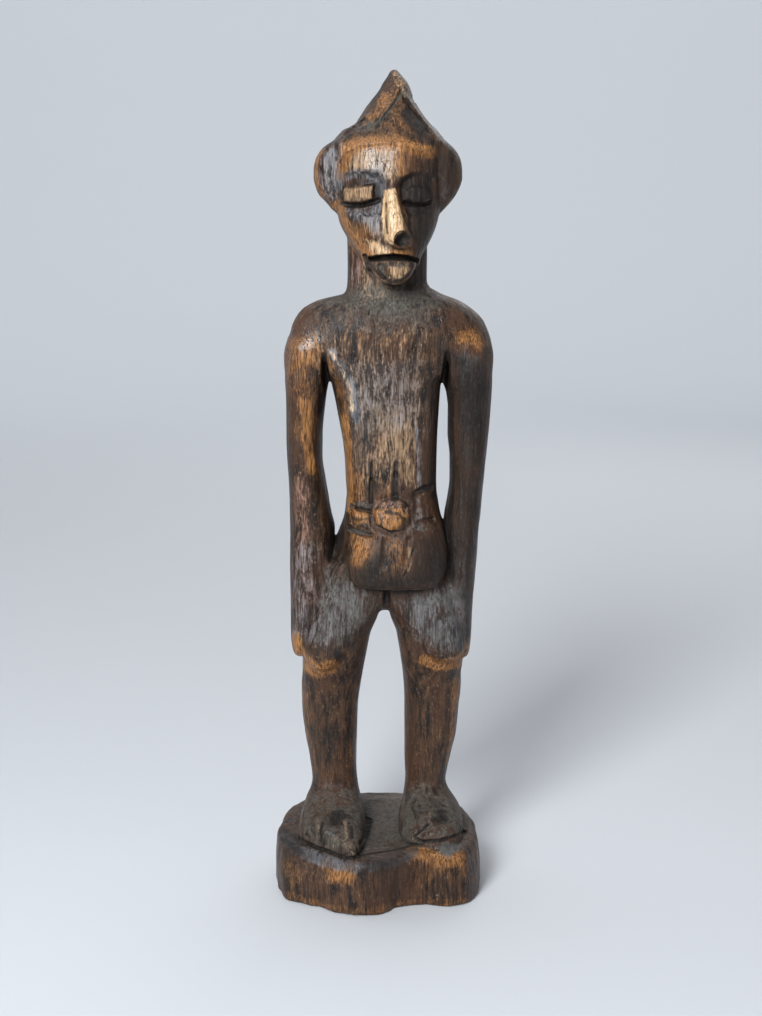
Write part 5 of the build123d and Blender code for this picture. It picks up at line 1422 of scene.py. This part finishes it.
    # drying cracks: thin dark lines along the grain
    line = remap(mth("ABSOLUTE", mth("SUBTRACT", cracks, 0.5)), 0.012, 0.0)
    line = mth("MULTIPLY", line, remap(mottle, 0.45, 0.60))
    c = mixc(mth("MULTIPLY", line, 0.75), c, (0.016, 0.012, 0.010))
    # fine pores
    pore = remap(mth("ADD", mth("MULTIPLY", fibre, 0.7), mth("MULTIPLY", speck, 0.3)), 0.395, 0.33)
    c = mixc(mth("MULTIPLY", pore, 0.65), c, (0.018, 0.013, 0.010))

    p = node("ShaderNodeBsdfPrincipled")
    link(c, p.inputs["Base Color"])
    r = mth("ADD", 0.43, mth("MULTIPLY", mth("SUBTRACT", mottle, 0.5), 0.65))
    r = mth("ADD", r, mth("MULTIPLY", mth("SUBTRACT", fibre, 0.5), 0.45))
    r = mth("SUBTRACT", r, mth("MULTIPLY", gloss, 0.20))
    r = mth("ADD", r, mth("MULTIPLY", dust, 0.34))
    r = mth("ADD", r, mth("MULTIPLY", dark, 0.12))
    r = mth("MINIMUM", mth("MAXIMUM", r, 0.24), 0.92)
    link(r, p.inputs["Roughness"])
    p.inputs["IOR"].default_value = 1.5
    link(mth("ADD", mth("MULTIPLY", gloss, 0.38), 0.29), p.inputs["Specular IOR Level"])

    hgt = mth("ADD", mth("MULTIPLY", streak, 0.55), mth("MULTIPLY", fibre, 0.30))
    hgt = mth("ADD", hgt, mth("MULTIPLY", mottle, 0.35))
    hgt = mth("ADD", hgt, mth("MULTIPLY", speck, 0.16))
    hgt = mth("SUBTRACT", hgt, mth("MULTIPLY", line, 0.5))
    hgt = mth("SUBTRACT", hgt, mth("MULTIPLY", pore, 0.2))
    bp = node("ShaderNodeBump")
    bp.inputs["Strength"].default_value = 0.95
    bp.inputs["Distance"].default_value = 0.00048
    link(hgt, bp.inputs["Height"])
    link(bp.outputs[0], p.inputs["Normal"])
    out = node("ShaderNodeOutputMaterial")
    link(p.outputs[0], out.inputs[0])
    return m


mat = wood_material("carved_wood", 1.0)


# ---------------------------------------------------------------- every piece takes its CAD node's place
for node, ob in pieces.items():
    me = ob.data
    me.materials.clear()
    me.materials.append(mat)
    for p in me.polygons:
        p.use_smooth = True
    n = len(me.vertices)
    co = np.zeros(n * 3, np.float32); me.vertices.foreach_get("co", co)
    co = co.reshape(-1, 3).astype(float) / MM
    gn = gradient(co, 0.18)
    gn /= np.maximum(np.linalg.norm(gn, axis=1), 1e-9)[:, None]
    lv = np.zeros(len(me.loops), np.int32); me.loops.foreach_get("vertex_index", lv)
    pn = np.zeros(len(me.polygons) * 3, np.float32); me.polygons.foreach_get("normal", pn); pn = pn.reshape(-1, 3)
    lt = np.zeros(len(me.polygons), np.int32); me.polygons.foreach_get("loop_total", lt)
    pol = np.repeat(np.arange(len(lt)), lt)
    pc = np.zeros(len(me.polygons) * 3, np.float32); me.polygons.foreach_get("center", pc)
    pc = pc.reshape(-1, 3).astype(float) / MM
    deep = field(pc[:, 0], pc[:, 1], pc[:, 2]) < -0.35
    # boundary faces: flat, and away from the surface or square to it
    ln = gn[lv]
    agree = (ln * pn[pol]).sum(1)
    facen = pn[pol].astype(float)
    cap = deep[pol] | (agree < 0.25)
    ln[cap] = facen[cap]
    me.normals_split_custom_set(ln.tolist())
    # two colour attributes: worn wood, dust and gloss together with painted highlights, sheen and shade
    if "patina" in globals():
        wear = patina(co, gn)
        for label, cols in (("wear_a", wear[:, :4]), ("wear_b", wear[:, 4:])):
            at_ = me.color_attributes.new(label, "FLOAT_COLOR", "POINT")
            at_.data.foreach_set("color", np.ascontiguousarray(cols, np.float32).ravel())
    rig.ride(ob, "root")
    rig.replaces(ob, node)
    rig.slot(ob, "pedestal_wood" if node == "pedestal" else "figure_wood")

# ---------------------------------------------------------------- floor, light, camera
floor_mat = bpy.data.materials.new("pale_floor"); floor_mat.use_nodes = True
fb = floor_mat.node_tree.nodes["Principled BSDF"]
fb.inputs["Base Color"].default_value = (0.55, 0.56, 0.58, 1); fb.inputs["Roughness"].default_value = 0.8
# the far end of the sweep glows a little, as a lit backdrop does
fn = floor_mat.node_tree
tcf = fn.nodes.new("ShaderNodeTexCoord"); spf = fn.nodes.new("ShaderNodeSeparateXYZ"); mrf = fn.nodes.new("ShaderNodeMapRange")
mrf.interpolation_type = "SMOOTHSTEP"
fn.links.new(tcf.outputs["Object"], spf.inputs[0]); fn.links.new(spf.outputs["Y"], mrf.inputs["Value"])
mrf.inputs["From Min"].default_value, mrf.inputs["From Max"].default_value = 0.05, 1.35
mrf.inputs["To Min"].default_value, mrf.inputs["To Max"].default_value = 0.0, 0.40
# and the floor stays pale to the horizon on every side, which lights nothing
lnf = fn.nodes.new("ShaderNodeVectorMath"); lnf.operation = "LENGTH"; fn.links.new(tcf.outputs["Object"], lnf.inputs[0])
rgf = fn.nodes.new("ShaderNodeMapRange"); rgf.interpolation_type = "SMOOTHSTEP"
fn.links.new(lnf.outputs["Value"], rgf.inputs["Value"])
rgf.inputs["From Min"].default_value, rgf.inputs["From Max"].default_value = 0.25, 1.35
rgf.inputs["To Min"].default_value, rgf.inputs["To Max"].default_value = 0.0, 0.54
lpf = fn.nodes.new("ShaderNodeLightPath"); mlf = fn.nodes.new("ShaderNodeMath"); mlf.operation = "MULTIPLY"
fn.links.new(rgf.outputs["Result"], mlf.inputs[0]); fn.links.new(lpf.outputs["Is Camera Ray"], mlf.inputs[1])
ssf = fn.nodes.new("ShaderNodeMapRange"); ssf.interpolation_type = "SMOOTHSTEP"
fn.links.new(spf.outputs["Y"], ssf.inputs["Value"])
ssf.inputs["From Min"].default_value, ssf.inputs["From Max"].default_value = -0.2, 0.5
ssf.inputs["To Min"].default_value, ssf.inputs["To Max"].default_value = 1.0, 0.0
axf = fn.nodes.new("ShaderNodeMath"); axf.operation = "ABSOLUTE"; fn.links.new(spf.outputs["X"], axf.inputs[0])
sxf = fn.nodes.new("ShaderNodeMapRange"); sxf.interpolation_type = "SMOOTHSTEP"
fn.links.new(axf.outputs[0], sxf.inputs["Value"])
sxf.inputs["From Min"].default_value, sxf.inputs["From Max"].default_value = 0.7, 2.2
sxf.inputs["To Min"].default_value, sxf.inputs["To Max"].default_value = 0.0, 0.42
mmf = fn.nodes.new("ShaderNodeMath"); mmf.operation = "MAXIMUM"
fn.links.new(ssf.outputs["Result"], mmf.inputs[0]); fn.links.new(sxf.outputs["Result"], mmf.inputs[1])
mkf = fn.nodes.new("ShaderNodeMath"); mkf.operation = "MULTIPLY"
fn.links.new(mlf.outputs[0], mkf.inputs[0]); fn.links.new(mmf.outputs[0], mkf.inputs[1])
adf = fn.nodes.new("ShaderNodeMath"); adf.operation = "ADD"
fn.links.new(mrf.outputs["Result"], adf.inputs[0]); fn.links.new(mkf.outputs[0], adf.inputs[1])
fn.links.new(adf.outputs[0], fb.inputs["Emission Strength"])
fb.inputs["Emission Color"].default_value = (0.86, 0.91, 0.97, 1)
prof = [(-40.0, 0.0)] + [(0.9 + 0.5 * math.sin(t), 0.5 - 0.5 * math.cos(t)) for t in np.linspace(0, math.pi / 2, 16)] + [(1.4, 14.0)]
fv, ff = [], []
for y, z in prof:
    fv += [(-40.0, y, z), (40.0, y, z)]
for i in range(len(prof) - 1):
    ff.append((2 * i, 2 * i + 1, 2 * i + 3, 2 * i + 2))
fm = bpy.data.meshes.new("floor"); fm.from_pydata(fv, [], ff); fm.update()
for p in fm.polygons:
    p.use_smooth = True
floor = bpy.data.objects.new("floor", fm); scene.collection.objects.link(floor)
fm.materials.append(floor_mat)
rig.stage(floor)


def area(name, loc, target, size, power, colour, size_y=None):
    l = bpy.data.lights.new(name, "AREA"); l.energy = power; l.color = colour; l.size = size
    if size_y:
        l.shape = "RECTANGLE"; l.size_y = size_y
    o = bpy.data.objects.new(name, l); scene.collection.objects.link(o)
    o.location = loc
    o.rotation_euler = (Vector(target) - Vector(loc)).to_track_quat("-Z", "Y").to_euler()
    return o


area("key", (-0.26, -0.60, 0.52), (0, 0, 0.15), 0.24, 8.8, (0.93, 0.97, 1.0), 0.40)
area("fill", (0.7, -0.45, 0.35), (0, 0, 0.12), 0.6, 0.45, (1.0, 0.95, 0.9))
area("top", (-0.1, 0.15, 0.9), (0, 0, 0.1), 0.6, 2.2, (0.95, 0.97, 1.0))
area("back", (0.3, 0.6, 0.5), (0, 0, 0.15), 0.5, 1.0, (1.0, 1.0, 1.0))
w = bpy.data.worlds.new("studio") if scene.world is None else scene.world
scene.world = w; w.use_nodes = True
bg = w.node_tree.nodes.get("Background")
bg.inputs[0].default_value = (0.80, 0.87, 0.95, 1); bg.inputs[1].default_value = 0.14
# seen directly, the surround is as pale as the floor
wn_ = w.node_tree
bg2 = wn_.nodes.new("ShaderNodeBackground"); bg2.inputs[0].default_value = (0.86, 0.91, 0.97, 1); bg2.inputs[1].default_value = 0.74
lpw = wn_.nodes.new("ShaderNodeLightPath"); mxw = wn_.nodes.new("ShaderNodeMixShader")
wn_.links.new(lpw.outputs["Is Camera Ray"], mxw.inputs[0])
wn_.links.new(bg.outputs[0], mxw.inputs[1]); wn_.links.new(bg2.outputs[0], mxw.inputs[2])
wn_.links.new(mxw.outputs[0], wn_.nodes["World Output"].inputs[0])

cam_data = bpy.data.cameras.new("camera"); cam_data.lens = 1500 * 36 / 1016; cam_data.sensor_width = 36.0
cam = bpy.data.objects.new("camera", cam_data); scene.collection.objects.link(cam)
cam.location = (0.001, -0.412, 0.199)
cam.rotation_euler = (math.radians(90 - 12.0), 0, 0)
cam_data.clip_start, cam_data.clip_end = 0.01, 100
scene.camera = cam
scene.view_settings.view_transform = "Standard"

json.dump([[list(cad_lo), list(cad_hi)], [list(v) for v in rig.bounds()]], open("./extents.json", "w"))
